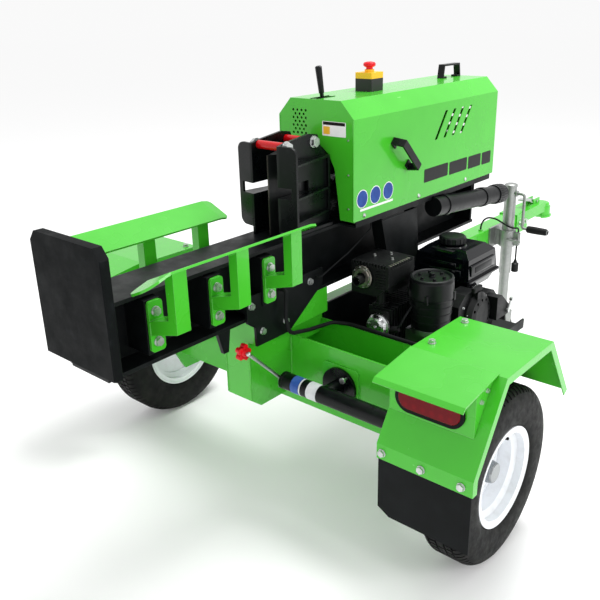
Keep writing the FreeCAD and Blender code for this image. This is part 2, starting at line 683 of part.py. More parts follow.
def flywheel():
    disc = turned([(60, 20), (100, 20), (100, 44), (86, 44), (86, 112), (100, 112), (100, FLYWHEEL_R),
                   (60, FLYWHEEL_R), (60, 112), (74, 112), (74, 44), (60, 44)], (0, SHAFT_Y, SHAFT_Z), X)
    holes = []
    for k in range(6):
        a = k * pi / 3
        holes.append(cyl((70, SHAFT_Y + 78 * cos(a), SHAFT_Z + 78 * sin(a)), X, 17.0, 20))
    return cut(disc, *holes)


def grooved(x0, x1, radius, bore, centre):
    """Two-groove belt pulley."""
    w = (x1 - x0) / 2
    profile = [(x0, bore), (x1, bore)]
    for k in (1, 0):
        a = x0 + k * w
        profile += [(a + w, radius), (a + w - 2, radius), (a + w / 2 + 2, radius - 10),
                    (a + w / 2 - 2, radius - 10), (a + 2, radius), (a, radius)]
    unique = [p for i, p in enumerate(profile) if i == 0 or p != profile[i - 1]]
    return turned(unique, centre, X)


def drive_belt():
    """V-belt round both pulleys; it stays put as a ring while they turn."""
    a, b = V(0, CRANK_Y, CRANK_Z), V(0, SHAFT_Y, SHAFT_Z)
    ra, rb = SHEAVE_R - 1.0, PULLEY_R - 1.0
    run = b - a
    lean = atan2(run.z, run.y)
    spread = pi / 2 + (rb - ra) / run.Length

    def loop(grow, x0, x1):
        pts = []
        for k in range(13):
            ang = lean + spread + (2 * pi - 2 * spread) * k / 12
            pts.append((a.y + (ra + grow) * cos(ang), a.z + (ra + grow) * sin(ang)))
        for k in range(17):
            ang = lean - spread + 2 * spread * k / 16
            pts.append((b.y + (rb + grow) * cos(ang), b.z + (rb + grow) * sin(ang)))
        return yz_plate(x0, x1, pts)
    mid = (SHEAVE_X[0] + SHEAVE_X[1]) / 2
    return loop(9.0, mid - 10.5, mid + 10.5).cut(loop(2.0, mid - 10.5, mid + 10.5))


def belt_guard():
    """Open-backed sheet cover over the belt, hung from the beam flange."""
    outer = yz_plate(96, 140, [(340, 452), (460, 452), (472, 520), (438, 806), (240, 806), (322, 520)])
    inner = yz_plate(95, 137, [(343, 455), (457, 455), (469, 520), (435, 807), (243, 807), (325, 520)])
    shaft = cyl((136, CRANK_Y, CRANK_Z), X, 24.0, 6)
    bracket = box(BEAM_HALF, 99, 284, 420, BEAM_BOTTOM, BEAM_BOTTOM + BEAM_FLANGE)
    return fuse(cut(outer, inner, shaft), bracket)


# ---- engine ---------------------------------------------------------------
CLEANER_XY = (330.0, 232.0)
ENGINE_FEET = [(200.0, 275.0), (200.0, 525.0), (320.0, 275.0), (320.0, 525.0)]


def engine_block():
    """Crankcase with its finned cylinder and head as separate castings."""
    case = rounded(box(176, 338, 290, 510, 412, 552), 14.0, X)
    sump = box(184, 336, 262, 538, 400, 414)
    boss = cyl((160, CRANK_Y, CRANK_Z), X, 46.0, 18)
    barrel = box(184, 250, 168, 292, 458, 568)
    fins = [box(172, 258, y, y + 4, 450, 574) for y in range(182, 288, 14)]
    filler = cyl((200, 508, 436), Y, 12.0, 16)
    bore = cyl((150, CRANK_Y, CRANK_Z), X, 17.0 + RUNNING_GAP, 260)
    feet = [cyl((x, y, 399), Z, 4.5, 20) for x, y in ENGINE_FEET]
    casting = cut(fuse(case, sump, boss, barrel, filler, *fins), bore, cleaner_clearance(), *feet)
    return group(casting, cylinder_head())


def cleaner_clearance():
    """Room kept free for the air cleaner and the plate under it."""
    return cyl((*CLEANER_XY, 490), Z, 68.6, 190)


def cylinder_head():
    head = rounded(box(182, 252, 122, 168, 462, 566), 12.0, Y)
    fins = [box(174, 258, y, y + 4, 456, 572) for y in (130, 144, 158)]
    return fuse(head, *fins)


def valve_cover():
    cover = turned([(0, 0), (0, 38), (-10, 38), (-14, 34), (-26, 32), (-30, 26), (-30, 12), (-27, 10), (-27, 0)],
                   (220, 122, 518), Y)
    return fuse(cover, cyl((220, 95, 518), Y * -1, 6.5, 8))


def engine_bolts():
    return [hex_bolt((x, y, 414), Z, 9.0, 26.0) for x, y in ENGINE_FEET]


def muffler():
    """Silencer can in its slotted heat shield, with the outlet flange and spout."""
    can = rounded(box(122, 241, 132, 250, 618, 700), 18.0, X)
    inlet = cyl((205, 150, 572), Z, 14.0, 50)
    seat = box(187, 223, 134, 166, 572, 580)
    standoffs = [cyl((x, 190, 699), Z, 4.0, 7.5) for x in (150, 215)]
    return group(fuse(can, inlet, seat, exhaust_outlet(), *standoffs), heat_shield())


def heat_shield():
    x0, x1, y0, y1, z0, z1, t = 113.0, 250.0, 122.0, 258.0, 606.0, 708.0, 1.5
    shell = box(x0, x1, y0, y1, z0, z1).cut(box(x0 + t, x1 - t, y0 + t, y1 + 1, z0 - 1, z1 - t))
    low = prism([(x1 + 1, y0 - 1, z0 - 1), (x1 - 46, y0 - 1, z0 - 1), (x1 + 1, y0 - 1, z0 + 40)], (0, 200, 0))
    slots = [box(x0 + 8 + 11 * k, x0 + 13 + 11 * k, y0 - 1, y0 + 13, z1 - 10, z1 + 1) for k in range(11)]
    slots += [box(x1 - 14, x1 + 1, y0 + 10 + 11 * k, y0 + 15 + 11 * k, z1 - 10, z1 + 1) for k in range(11)]
    slots += [box(x1 - 46, x1 - 10, y0 - 1, y0 + 4, z0 + 44 + 9 * k, z0 + 48 + 9 * k) for k in range(5)]
    slots += [box(x0 - 1, x0 + 4, y0 + 16 + 12 * k, y0 + 22 + 12 * k, z0 + 14, z1 - 20) for k in range(9)]
    outlet = cyl((158, y0 - 3, 662), Y, 27.2, 8)
    return cut(shell, low, outlet, *slots)


def exhaust_outlet():
    flange = cyl((158, 117, 662), Y, 27.0, 16)
    spout = pipe((158, 84, 656), Y, 15.0, 12.0, 34)
    screws = [cyl((158 + 20 * cos(a), 114, 662 + 20 * sin(a)), Y, 3.0, 4) for a in (0.5, 2.6, 4.7)]
    return fuse(flange, spout, *screws)


def air_cleaner():
    return turned([(0, 0), (0, 56), (20, 60), (96, 66), (100, 68), (104, 68), (150, 66), (156, 62), (158, 0)],
                  (*CLEANER_XY, 509), Z)


def carburettor():
    """Carburettor body, its float bowl and the plate under the air cleaner."""
    plate = cyl((*CLEANER_XY, 493), Z, 58.0, 16)
    body = box(262, 330, 200, 246, 440, 493)
    bowl = cyl((296, 223, 404), Z, 19.0, 38)
    throat = cyl((258, 223, 466), X, 14.0, 6)
    return fuse(plate, body, bowl, throat)


def fuel_tank():
    """Upper and lower pressings joined at a flange."""
    def slab(z0, z1, low, high):
        rings = []
        for z, g in ((z0, low), (z1, high)):
            corners = [V(150 + g, 408 + g, z), V(360 - g, 408 + g, z), V(360 - g, 605 - g, z),
                       V(150 + g, 605 - g, z)]
            rings.append(Part.makePolygon(corners + [corners[0]]))
        return Part.makeLoft(rings, True, True)
    flange = rounded(box(144, 366, 402, 611, 597, 602), 14.0, Z)
    neck = cyl((255, 478, 686), Z, 30.0, 12)
    foot = box(190, 320, 440, 500, 552, 562)
    return fuse(slab(602, 668, 4, 10), slab(668, 690, 10, 36), slab(560, 597, 22, 6), flange, neck, foot)


def fuel_cap():
    cap = turned([(0, 0), (0, 40), (3, 42), (20, 42), (24, 38), (26, 20), (26, 0)], (255, 478, 699), Z)
    ribs = [cyl((255 + 42 * cos(k * pi / 8), 478 + 42 * sin(k * pi / 8), 702), Z, 2.4, 17) for k in range(16)]
    return fuse(cap, *ribs)


def blower_housing():
    """Fan shroud, the recoil starter cover and the control panel, three separate mouldings."""
    shroud = yz_plate(338, 391.8, [(292, 420), (510, 420), (560, 470), (560, 510), (520, 552), (440, 556),
                                   (395, 590), (330, 590), (292, 560)])
    hollow = cyl((337, CRANK_Y, CRANK_Z), X, 80.0, 43)
    mouth = cyl((378, CRANK_Y, CRANK_Z), X, 66.0, 20)
    return group(cut(shroud, hollow, mouth, cleaner_clearance()), recoil_cover(), control_panel())


def recoil_cover():
    cover = turned([(392, 0), (392, 74), (398, 74), (412, 62), (416, 40), (416, 0)], (0, CRANK_Y, CRANK_Z), X)
    slots = []
    for k in range(12):
        a = k * pi / 6
        slots.append(cyl((404, CRANK_Y + 52 * cos(a), CRANK_Z + 52 * sin(a)), X, 5.0, 20))
    guide = box(392, 412, 372, 392, 566, 590)
    return cut(fuse(cover, guide), *slots, cyl((402, 382, 580), Z, 4.0, 20))


def recoil_grip():
    grip = rounded(box(395, 409, 356, 408, 592, 606), 5.0, Z)
    return fuse(grip, cyl((402, 382, 582), Z, 3.4, 12))


def cooling_fan():
    hub_part = cyl((346, CRANK_Y, CRANK_Z), X, 30.0, 26)
    disc = cyl((346, CRANK_Y, CRANK_Z), X, 72.0, 6)
    blades = []
    for k in range(12):
        blade = box(352, 372, CRANK_Y + 44, CRANK_Y + 70, CRANK_Z - 1.5, CRANK_Z + 1.5)
        blade.rotate(V(0, CRANK_Y, CRANK_Z), X, 30 * k)
        blades.append(blade)
    return fuse(disc, hub_part, *blades)


def crankshaft():
    shaft = fuse(cyl((104, CRANK_Y, CRANK_Z), X, 14.0, 60), cyl((156, CRANK_Y, CRANK_Z), X, 17.0, 192),
                 cooling_fan())
    return group(shaft, grooved(*SHEAVE_X, SHEAVE_R, 14.0, (0, CRANK_Y, CRANK_Z)))


def control_panel():
    """Slanted box beside the starter with the switch pocket."""
    body = yz_plate(392.2, 432, [(470, 470), (560, 470), (560, 496), (500, 548), (470, 548)])
    return cut(body, box(402, 422, 512, 536, 506, 560))


def engine_switch():
    return rounded(box(403, 421, 514, 534, 509, 522), 2.0, X)


def throttle_lever():
    return fuse(cyl((432.4, 540, 484), X, 7.0, 8), rod((437, 540, 484), (437, 558, 520), 3.5),
                cyl((433, 558, 520), X, 7.0, 10))


# ---- coupler, tongue jack, rear jack --------------------------------------
COUPLER_BOLT_Y = (1452.0, 1506.0)
BALL_Y, BALL_Z, BALL_R = 1756.0, 500.0, 25.0


def coupler_body():
    (z0, z1), h = TONGUE_Z, TONGUE_HALF + 0.3
    sleeve = box(-h - 5, h + 5, 1424, 1532, z0 - 5, z1 + 5.3).cut(box(-h, h, 1423, 1533, z0 - 6, z1 + 0.3))
    neck = xy_plate(500, z1 + 5.3, [(-h - 5, 1532), (h + 5, 1532), (40, 1730), (-40, 1730)])
    neck = neck.cut(xy_plate(499, z1, [(-h, 1531), (h, 1531), (34, 1731), (-34, 1731)]))
    dome = cyl((0, BALL_Y, 478), Z, 50.0, 40).fuse(cyl((0, BALL_Y, 518), Z, 44.0, 18))
    dome = dome.makeFillet(8.0, [e for e in dome.Edges if abs(e.CenterOfMass.z - 536) < 0.1])
    nose = cyl((0, BALL_Y, 470), Z, 56.0, 8)
    whole = fuse(sleeve, neck, dome, nose)
    socket = Part.makeSphere(BALL_R + 0.6, V(0, BALL_Y, BALL_Z))
    mouth = cyl((0, BALL_Y, 460), Z, BALL_R + 0.6, BALL_Z - 460)
    tail = box(-30, 30, 1690, BALL_Y, 460, 512).cut(Part.makeSphere(48.0, V(0, BALL_Y, BALL_Z)))
    holes = [cyl((-h - 6, y, 505), X, 6.0, 2 * h + 12) for y in COUPLER_BOLT_Y]
    slot = box(-9, 9, 1640, 1700, 520, 560)
    pin = cyl((-60, 1672, 558), X, 5.1, 120)
    ears = [box(x, x + 5, 1640, 1704, z1, 572) for x in (-19, 14)]
    return cut(fuse(whole, *ears), socket, mouth, tail, slot, pin, *holes)


def coupler_bolts():
    bolts = []
    for y in COUPLER_BOLT_Y:
        bolt = hex_bolt((TONGUE_HALF + 5.3, y, 505), X, 12.0, 98.0)
        nut = cyl((-TONGUE_HALF - 16, y, 505), X, 11.0, 10)
        bolts.append(fuse(bolt, nut))
    return bolts


def coupler_latch():
    """Hand lever on its cross pin; it locks the ball in the socket."""
    outline = [(1672, 552), (1675, 566.5), (1560, 590), (1540, 588), (1540, 582), (1560, 581)]
    arm = yz_plate(-13.5, 13.5, outline)
    eye = cyl((-13.5, 1672, 558), X, 9.0, 27)
    pin = cyl((-24, 1672, 558), X, 5.0, 48)
    return fuse(arm, eye, pin)


def jack_clamp():
    """Plate welded on the tongue with a split ring round the jack tube."""
    x, y, r = JACK_X, JACK_Y, JACK_R
    plate = box(TONGUE_HALF, TONGUE_HALF + 8, y - 60, y + 60, 462, 548)
    arm = box(TONGUE_HALF + 8, x - r, y - 14, y + 14, 470, 540)
    ring = pipe((x, y, 470), Z, r + 9, r, 70)
    ear = box(x + r + 4, x + r + 30, y - 9, y + 9, 478, 532)
    split = box(x + r - 2, x + r + 40, y - 2, y + 2, 460, 560)
    screw_hole = cyl((x + r + 20, y - 20, 505), Y, 5.5, 40)
    return cut(fuse(plate, arm, ring, ear), cyl((x, y, 400), Z, r, 200), split, screw_hole)


def clamp_handle():
    x = JACK_X + JACK_R + 20
    screw = cyl((x, JACK_Y - 30, 505), Y, 5.0, 48)
    bar = cyl((x - 30, JACK_Y - 34, 505), X, 4.0, 60)
    return fuse(screw, bar)


def tongue_jack():
    """Outer tube of the tongue jack and, as a second solid, the clamp that holds it."""
    outer = pipe((JACK_X, JACK_Y, 350), Z, JACK_R, 21.2, 372)
    lid = [(722, 0), (722, JACK_R + 2), (730, JACK_R + 2), (734, 20), (734, 0)]
    cap = turned(lid, (JACK_X, JACK_Y, 0), Z)
    boss = cyl((JACK_X + 20, JACK_Y, 696), X, 12.0, 12)
    spindle_hole = cyl((JACK_X + 10, JACK_Y, 696), X, 6.0 + RUNNING_GAP, 40)
    return group(cut(fuse(outer, cap, boss), spindle_hole), jack_clamp(), clamp_handle())


def jack_crank():
    """Side crank with its grip; the spindle runs in the tube head."""
    x, y, z = JACK_X, JACK_Y, 696.0
    spindle = cyl((x + 16, y, z), X, 6.0, 24)
    arm = bent_rod([(x + 34, y, z), (x + 62, y, z), (x + 62, y, z - 142), (x + 86, y, z - 142)], 6.0)
    grip = turned([(0, 0), (0, 11), (4, 13), (30, 14), (80, 13), (88, 10), (88, 0)], (x + 84, y, z - 142), X)
    return fuse(spindle, arm, grip)


def jack_leg():
    return fuse(pipe((JACK_X, JACK_Y, 182), Z, 20.6, 17.5, 358), cyl((JACK_X, JACK_Y, 182), Z, 20.6, 10))


def jockey_fork():
    x, y = JACK_X, JACK_Y
    top = box(x - 36, x + 36, y - 26, y + 26, 168, 176)
    cheeks = [yz_plate(a, b, [(y - 26, 176), (y + 26, 176), (y + 16, 62), (y - 16, 62)])
              for a, b in ((x - 36, x - 31), (x + 31, x + 36))]
    return fuse(top, *cheeks, cyl((x, y, 176), Z, 14.0, 5.7), cyl((x - 42, y, JOCKEY_R), X, 7.0, 84))


def jockey_wheel():
    centre = (JACK_X, JACK_Y, JOCKEY_R)
    return turned([(-24, 7.06), (-24, 24), (-12, 28), (-12, 50), (-22, 54), (-22, 70), (-14, JOCKEY_R),
                   (14, JOCKEY_R), (22, 70), (22, 54), (12, 50), (12, 28), (24, 24), (24, 7.06)], centre, X)


def rear_jack_mount():
    """Plate on the channel's rear wall that the jack swivels on."""
    x, z, face = REAR_PIVOT_X, REAR_JACK_Z, CHANNEL_Y[0]
    plate = rounded(box(x - 64, x + 64, face - 6, face, z - 64, z + 64), 14.0, Y)
    return fuse(plate, cyl((x, face - 20, z), Y, 16.0, 20))


def rear_jack_tube():
    """Outer tube with the swivel plate and stub welded on it."""
    (x0, x1), x, y, z = REAR_JACK_X, REAR_PIVOT_X, REAR_JACK_Y, REAR_JACK_Z
    face = CHANNEL_Y[0]
    barrel = cyl((x0, y, z), X, REAR_JACK_R, x1 - x0)
    cap = cyl((x0 - 6, y, z), X, REAR_JACK_R + 1, 10)
    plate = cyl((x, face - 16, z), Y, 58.0, 9)
    stub = cyl((x, y, z), Y, 24.0, face - 16 - y)
    bore = cyl((x0 + 8, y, z), X, 23.2, x1)
    pivot = cyl((x, face - 30, z), Y, 16.0 + RUNNING_GAP, 30)
    lock = cyl((x + 30, face - 20, z + 38), Y, 4.0 + RUNNING_GAP, 20)
    spindle = cyl((x0 - 20, y, z), X, 6.0 + RUNNING_GAP, 40)
    return cut(fuse(barrel, cap, plate, stub), bore, pivot, lock, spindle)


def rear_jack_leg():
    x0, length = REAR_JACK_X[0] + 30, 376
    leg = pipe((x0, REAR_JACK_Y, REAR_JACK_Z), X, 22.6, 19.5, length)
    return fuse(leg, cyl((x0 + length, REAR_JACK_Y, REAR_JACK_Z), X, 27.0, 8))


REAR_CRANK_END = (78.0, -300.0, 538.0)


def rear_jack_crank():
    x, y, z = REAR_CRANK_END[0], REAR_JACK_Y, REAR_JACK_Z
    spindle = cyl((x - 6, y, z), X, 6.0, 36)
    yoke = rounded(box(x - 7, x + 7, y - 12, y + 12, z - 26, z + 14), 4.0, X)
    arm = rod((x, y, z), REAR_CRANK_END, 5.5)
    stub = cyl(REAR_CRANK_END, X * -1, 4.5, 26)
    return fuse(spindle, yoke, arm, stub, Part.makeSphere(7.0, V(*REAR_CRANK_END)))


def star_knob():
    """Five-lobed knob turning on the crank's stub."""
    x, y, z = REAR_CRANK_END
    core = cyl((x - 29, y, z), X, 17.0, 15)
    neck = turned([(x - 14, 0), (x - 14, 12), (x - 8, 9), (x - 8, 0)], (0, y, z), X)
    lobes = [cyl((x - 29, y + 17 * cos(k * 2 * pi / 5), z + 17 * sin(k * 2 * pi / 5)), X, 8.0, 15)
             for k in range(5)]
    return cut(fuse(core, neck, *lobes), cyl((x - 60, y, z), X, 4.6, 80))


def swivel_pin():
    """Spring pin on the jack's swivel plate."""
    x, y, z = REAR_PIVOT_X + 30, CHANNEL_Y[0], REAR_JACK_Z + 38
    return fuse(cyl((x, y - 32, z), Y, 4.0, 25), cyl((x, y - 38, z), Y, 9.0, 6))


# ---- document tube --------------------------------------------------------
def tube_frame():
    start, end = V(*TUBE_FROM), V(*TUBE_TO)
    return start, (end - start).normalize(), (end - start).Length


def document_tube():
    start, along, length = tube_frame()
    shell = Part.makeCylinder(TUBE_R, length - 44, start, along)
    hollow = Part.makeCylinder(TUBE_R - 3, length, start + along * 4, along)
    return shell.cut(hollow)


def tube_cap():
    start, along, length = tube_frame()
    cup = Part.makeCylinder(TUBE_R + 3.4, 62, start + along * (length - 62), along)
    return cup.cut(Part.makeCylinder(TUBE_R + 0.4, 58, start + along * (length - 63), along))


def tube_brackets():
    """Two hangers from the hood rail, each with a band round the tube."""
    start, along, length = tube_frame()
    hangers = []
    for s in (60.0, 330.0):
        band = Part.makeCylinder(TUBE_R + 3, 24, start + along * s, along)
        band = band.cut(Part.makeCylinder(TUBE_R, 26, start + along * (s - 1), along))
        c = start + along * (s + 12)
        strap = box(82.5, 104, c.y - 12, c.y + 12, c.z - 20, 812)
        root = box(78, 84, c.y - 12, c.y + 12, 760, 812)
        strap = strap.cut(Part.makeCylinder(TUBE_R, 60, start + along * (s - 16), along))
        link = box(BEAM_HALF, 106, c.y - 12, c.y + 12, 800, 812)
        hangers.append(fuse(band, strap, link, root))
    return group(*hangers)


# ---- cables ----------------------------------------------------------------
LOOM = [(82, -165, 690), (102, -165, 690), (104, -172, 612), (104, -158, 556), (100, -66, 536),
        (108, 34, 528), (150, 65, 521.6), (470, 65, 521.6), (500, 56, 540), (500, 20, 560), (524, 20, 560)]
CONTROL_CABLE = [(112, 222, 812), (112, 222, 780), (104, 118, 728), (100, 36, 700), (100, -14, 684),
                 (82, -14, 684)]
LEAD = [(20, 1130, 549), (20, 1130, 575), (36, 1146, 600), (62, 1172, 593), (84, 1190, 575),
        (112, 1195, 560), (131, 1211, 553), (134, 1240, 549), (127, 1262, 530), (122, 1269, 500),
        (120, 1269, 462), (122, 1265, 424), (122, 1265, 400)]
LEAD_R = 3.5


def wiring_loom():
    """Loom clipped along the frame and the thin control cable, both held at their ends."""
    return group(bent_rod(LOOM, 6.0), bent_rod(CONTROL_CABLE, 2.5))


def light_lead():
    """Trailer-light lead that lies over the jack clamp and hangs beside the tube."""
    return bent_rod(LEAD, LEAD_R, limit=None)


def light_plug():
    x, y, z = LEAD[-1]
    return turned([(0, 0), (0, 5), (-12, 9), (-16, 15), (-50, 15), (-52, 13), (-52, 0)], (x, y, z), Z)


# ---- write every node ------------------------------------------------------
def fasteners():
    """Every fixed bolt and screw of the frame, hood, fenders, stripper, coupler and engine."""
    return (cradle_bolts() + saddle_bolts() + hood_screws() + fender_bolts() + light_box_bolts()
            + tie_bolts() + coupler_bolts() + engine_bolts())


SINGLE = {
    "main_beam": main_beam, "end_plate": end_plate, "cross_channel": cross_channel, "tongue_tube": tongue,
    "engine_tray": engine_tray, "hood": hood, "control_lever": control_lever,
    "estop_housing": estop_housing, "estop_button": estop_button, "tie_sleeves": tie_sleeves,
    "wedge": wedge, "ram_rack": ram, "pinion_shaft": pinion_shaft, "drive_belt": drive_belt,
    "belt_guard": belt_guard, "engine_block": engine_block, "valve_cover": valve_cover,
    "muffler": muffler, "air_cleaner": air_cleaner, "carburettor": carburettor, "fuel_tank": fuel_tank,
    "fuel_cap": fuel_cap, "blower_housing": blower_housing, "recoil_grip": recoil_grip,
    "crankshaft": crankshaft, "engine_switch": engine_switch, "throttle_lever": throttle_lever,
    "coupler_body": coupler_body, "coupler_latch": coupler_latch, "tongue_jack": tongue_jack,
    "jack_crank": jack_crank, "jack_leg": jack_leg, "jockey_fork": jockey_fork,
    "jockey_wheel": jockey_wheel, "rear_jack_tube": rear_jack_tube, "rear_jack_leg": rear_jack_leg,
    "rear_jack_crank": rear_jack_crank, "star_knob": star_knob, "swivel_pin": swivel_pin,
    "tube_cap": tube_cap, "wiring_loom": wiring_loom, "light_lead": light_lead, "light_plug": light_plug,
}
PAIRS = {
    "log_cradles": cradle, "saddle_plates": saddle_plate, "fenders": fender, "light_boxes": light_box,
    "light_grommets": light_grommet, "light_lenses": light_lens, "mud_flaps": mud_flap,
    "stripper_plates": stripper, "bearing_plates": bearing_plate, "flywheels": flywheel,
}

for node, make in SINGLE.items():
    save(node, make())
for node, make in PAIRS.items():
    save(node, group(*both([make()])))
save("fasteners", group(*fasteners()))
save("hood_handles", group(side_handle(), top_handle()))
save("document_tube", group(document_tube(), tube_brackets()))
for name, make in {"tyre": tyre, "rim": wheel_rim}.items():
    save(name + "_right", make())
    save(name + "_left", mirrored(make()))
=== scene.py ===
from math import atan2, cos, hypot, pi, radians, sin

import bpy
from mathutils import Matrix, Vector


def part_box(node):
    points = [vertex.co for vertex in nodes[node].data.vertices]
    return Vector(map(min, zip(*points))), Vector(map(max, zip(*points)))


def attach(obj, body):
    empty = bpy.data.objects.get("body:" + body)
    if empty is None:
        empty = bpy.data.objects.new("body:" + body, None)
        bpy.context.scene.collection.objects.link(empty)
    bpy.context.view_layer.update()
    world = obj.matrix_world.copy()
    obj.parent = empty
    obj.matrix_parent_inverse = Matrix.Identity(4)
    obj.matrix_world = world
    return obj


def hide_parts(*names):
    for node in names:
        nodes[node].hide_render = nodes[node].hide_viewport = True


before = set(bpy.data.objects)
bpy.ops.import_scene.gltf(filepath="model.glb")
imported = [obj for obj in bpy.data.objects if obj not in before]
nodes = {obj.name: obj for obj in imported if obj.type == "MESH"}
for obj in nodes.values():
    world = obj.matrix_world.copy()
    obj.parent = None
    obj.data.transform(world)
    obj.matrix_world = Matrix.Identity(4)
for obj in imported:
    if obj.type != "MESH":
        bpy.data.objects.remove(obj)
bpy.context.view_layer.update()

# Towable kinetic log splitter, in metres: +X is the right-hand side, +Y points to the hitch, +Z is up.
MM = 0.001
AXLE = Vector((0.653, -0.5165, 0.249))           # centre of the right-hand wheel
RIGHT, LEFT = 1, -1
SIDES = ((RIGHT, "right"), (LEFT, "left"))
X_AXIS, Y_AXIS, Z_AXIS = (1, 0, 0), (0, 1, 0), (0, 0, 1)
HOOD_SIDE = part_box("hood")[1][0]
HOOD_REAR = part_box("hood")[0][1]


# ---- camera, light and floor ------------------------------------------------------
def camera():
    """High three-quarter view from behind the right-hand wheel."""
    yaw, pitch, roll = radians(41.48), radians(20.92), radians(1.5)
    forward = Vector((-sin(yaw) * cos(pitch), cos(yaw) * cos(pitch), -sin(pitch)))
    level = forward.cross((0, 0, 1)).normalized()
    below = forward.cross(level)
    across = level * cos(roll) + below * sin(roll)
    down = below * cos(roll) - level * sin(roll)
    lens = bpy.data.cameras.new("camera")
    lens.lens, lens.sensor_width = 44.03, 36.0
    lens.shift_y = -0.0157
    eye = bpy.data.objects.new("camera", lens)
    turn = Matrix((across, -down, -forward)).transposed().to_4x4()
    eye.matrix_world = Matrix.Translation((1.396, -2.0925, 1.419)) @ turn
    bpy.context.collection.objects.link(eye)
    bpy.context.scene.camera = eye


def lamp(name, place, aim, size, watts):
    """White round soft light aimed at a point."""
    light = bpy.data.lights.new(name, "AREA")
    light.shape, light.size, light.energy = "DISK", size, watts
    holder = bpy.data.objects.new(name, light)
    holder.location = place
    holder.rotation_euler = (Vector(aim) - Vector(place)).to_track_quat("-Z", "Y").to_euler()
    bpy.context.collection.objects.link(holder)


def studio():
    """One broad lamp overhead, softer ones from the right and from behind, and a pale sky."""
    middle = (0.0, -0.2, 0.7)
    lamp("lamp_overhead", (0.2, 1.2, 4.4), middle, 2.0, 135)
    lamp("lamp_right", (4.6, 0.6, 2.2), middle, 1.6, 60)
    lamp("lamp_rear", (2.0, -4.6, 3.2), middle, 1.6, 12)
    world = bpy.data.worlds.new("pale_sky")
    world.use_nodes = True
    sky = world.node_tree.nodes["Background"]
    sky.inputs["Color"].default_value = linear("#FFFFFF")
    sky.inputs["Strength"].default_value = 0.95
    bpy.context.scene.world = world
    bpy.context.scene.view_settings.view_transform = "Standard"


def floor(paper):
    """Seamless pale paper under and far beyond the machine."""
    width, below_tyres = 80, 0.5 * MM
    open_piece()
    bpy.ops.mesh.primitive_plane_add(size=width, location=(0, 0, -below_tyres))
    sweep = bpy.context.object
    sweep.name = "floor"
    sweep.data.materials.append(paper)


# ---- colour and surface helpers ---------------------------------------------------
def linear(code):
    """sRGB hex to the linear colour that a shader takes."""
    parts = [int(code[i:i + 2], 16) / 255 for i in (1, 3, 5)]
    return tuple(c / 12.92 if c <= 0.04045 else ((c + 0.055) / 1.055) ** 2.4 for c in parts) + (1.0,)


def add(tree, kind, links=None, values=None, **settings):
    """One shader node with its settings, plain values and incoming links."""
    made = tree.nodes.new(kind)
    for name, setting in settings.items():
        setattr(made, name, setting)
    for socket, number in (values or {}).items():
        made.inputs[socket].default_value = number
    for socket, source in (links or {}).items():
        tree.links.new(source, made.inputs[socket])
    return made


def finish(name, colour, roughness, metallic=0.0, **sockets):
    """New material: its tree, its shader and the object's own coordinates."""
    made = bpy.data.materials.new(name)
    made.use_nodes = True
    tree = made.node_tree
    shader = tree.nodes["Principled BSDF"]
    shader.inputs["Base Color"].default_value = linear(colour)
    shader.inputs["Roughness"].default_value = roughness
    shader.inputs["Metallic"].default_value = metallic
    for socket, number in sockets.items():
        shader.inputs[socket.replace("_", " ")].default_value = number
    place = add(tree, "ShaderNodeTexCoord").outputs["Object"]
    return made, tree, shader, place


def ramp(tree, source, stops):
    """Colour ramp between (position, hex) stops."""
    made = add(tree, "ShaderNodeValToRGB", links={"Fac": source})
    bar = made.color_ramp
    bar.elements[0].position, bar.elements[0].color = stops[0][0], linear(stops[0][1])
    bar.elements[1].position, bar.elements[1].color = stops[-1][0], linear(stops[-1][1])
    for position, code in stops[1:-1]:
        bar.elements.new(position).color = linear(code)
    return made.outputs["Color"]


def mottle(tree, place, size_mm, detail=3.0):
    """Cloudy value between 0 and 1 whose blotches are size_mm across."""
    made = add(tree, "ShaderNodeTexNoise", links={"Vector": place},
               values={"Scale": 1 / (size_mm * MM), "Detail": detail, "Roughness": 0.6})
    return made.outputs["Fac"]


def vary_roughness(tree, shader, source, low, high):
    """Roughness that follows a pattern between two values."""
    spread = add(tree, "ShaderNodeMapRange", links={"Value": source},
                 values={"From Min": 0.3, "From Max": 0.7, "To Min": low, "To Max": high})
    tree.links.new(spread.outputs["Result"], shader.inputs["Roughness"])


def relief(tree, shader, source, depth_mm, edge_mm=1.2):
    """Surface relief over edges that are rounded by edge_mm."""
    soft = add(tree, "ShaderNodeBevel", values={"Radius": edge_mm * MM}, samples=4)
    bump = add(tree, "ShaderNodeBump", links={"Height": source, "Normal": soft.outputs["Normal"]},
               values={"Strength": 1.0, "Distance": depth_mm * MM})
    tree.links.new(bump.outputs["Normal"], shader.inputs["Normal"])


def edge_wear_and_highlight(tree, edge_mm):
    """1 on rounded edges, 0 on flats: rubbed wear on the black paints and castings, a painted highlight on
    the green coat.
    """
    soft = add(tree, "ShaderNodeBevel", values={"Radius": edge_mm * MM}, samples=4)
    true = add(tree, "ShaderNodeNewGeometry")
    same = add(tree, "ShaderNodeVectorMath", operation="DOT_PRODUCT",
               links={0: soft.outputs["Normal"], 1: true.outputs["Normal"]})
    edge = add(tree, "ShaderNodeMapRange", links={"Value": same.outputs["Value"]},
               values={"From Min": 0.90, "From Max": 0.72, "To Min": 0.0, "To Max": 1.0})
    return edge.outputs["Result"]


def part_of(tree, place, axis, level_mm, soft_mm=0.3):
    """0 below a level on one axis and 1 above it."""
    split = add(tree, "ShaderNodeSeparateXYZ", links={"Vector": place})
    step = add(tree, "ShaderNodeMapRange", links={"Value": split.outputs[axis]},
               values={"From Min": (level_mm - soft_mm) * MM, "From Max": (level_mm + soft_mm) * MM,
                       "To Min": 0.0, "To Max": 1.0})
    return step.outputs["Result"]


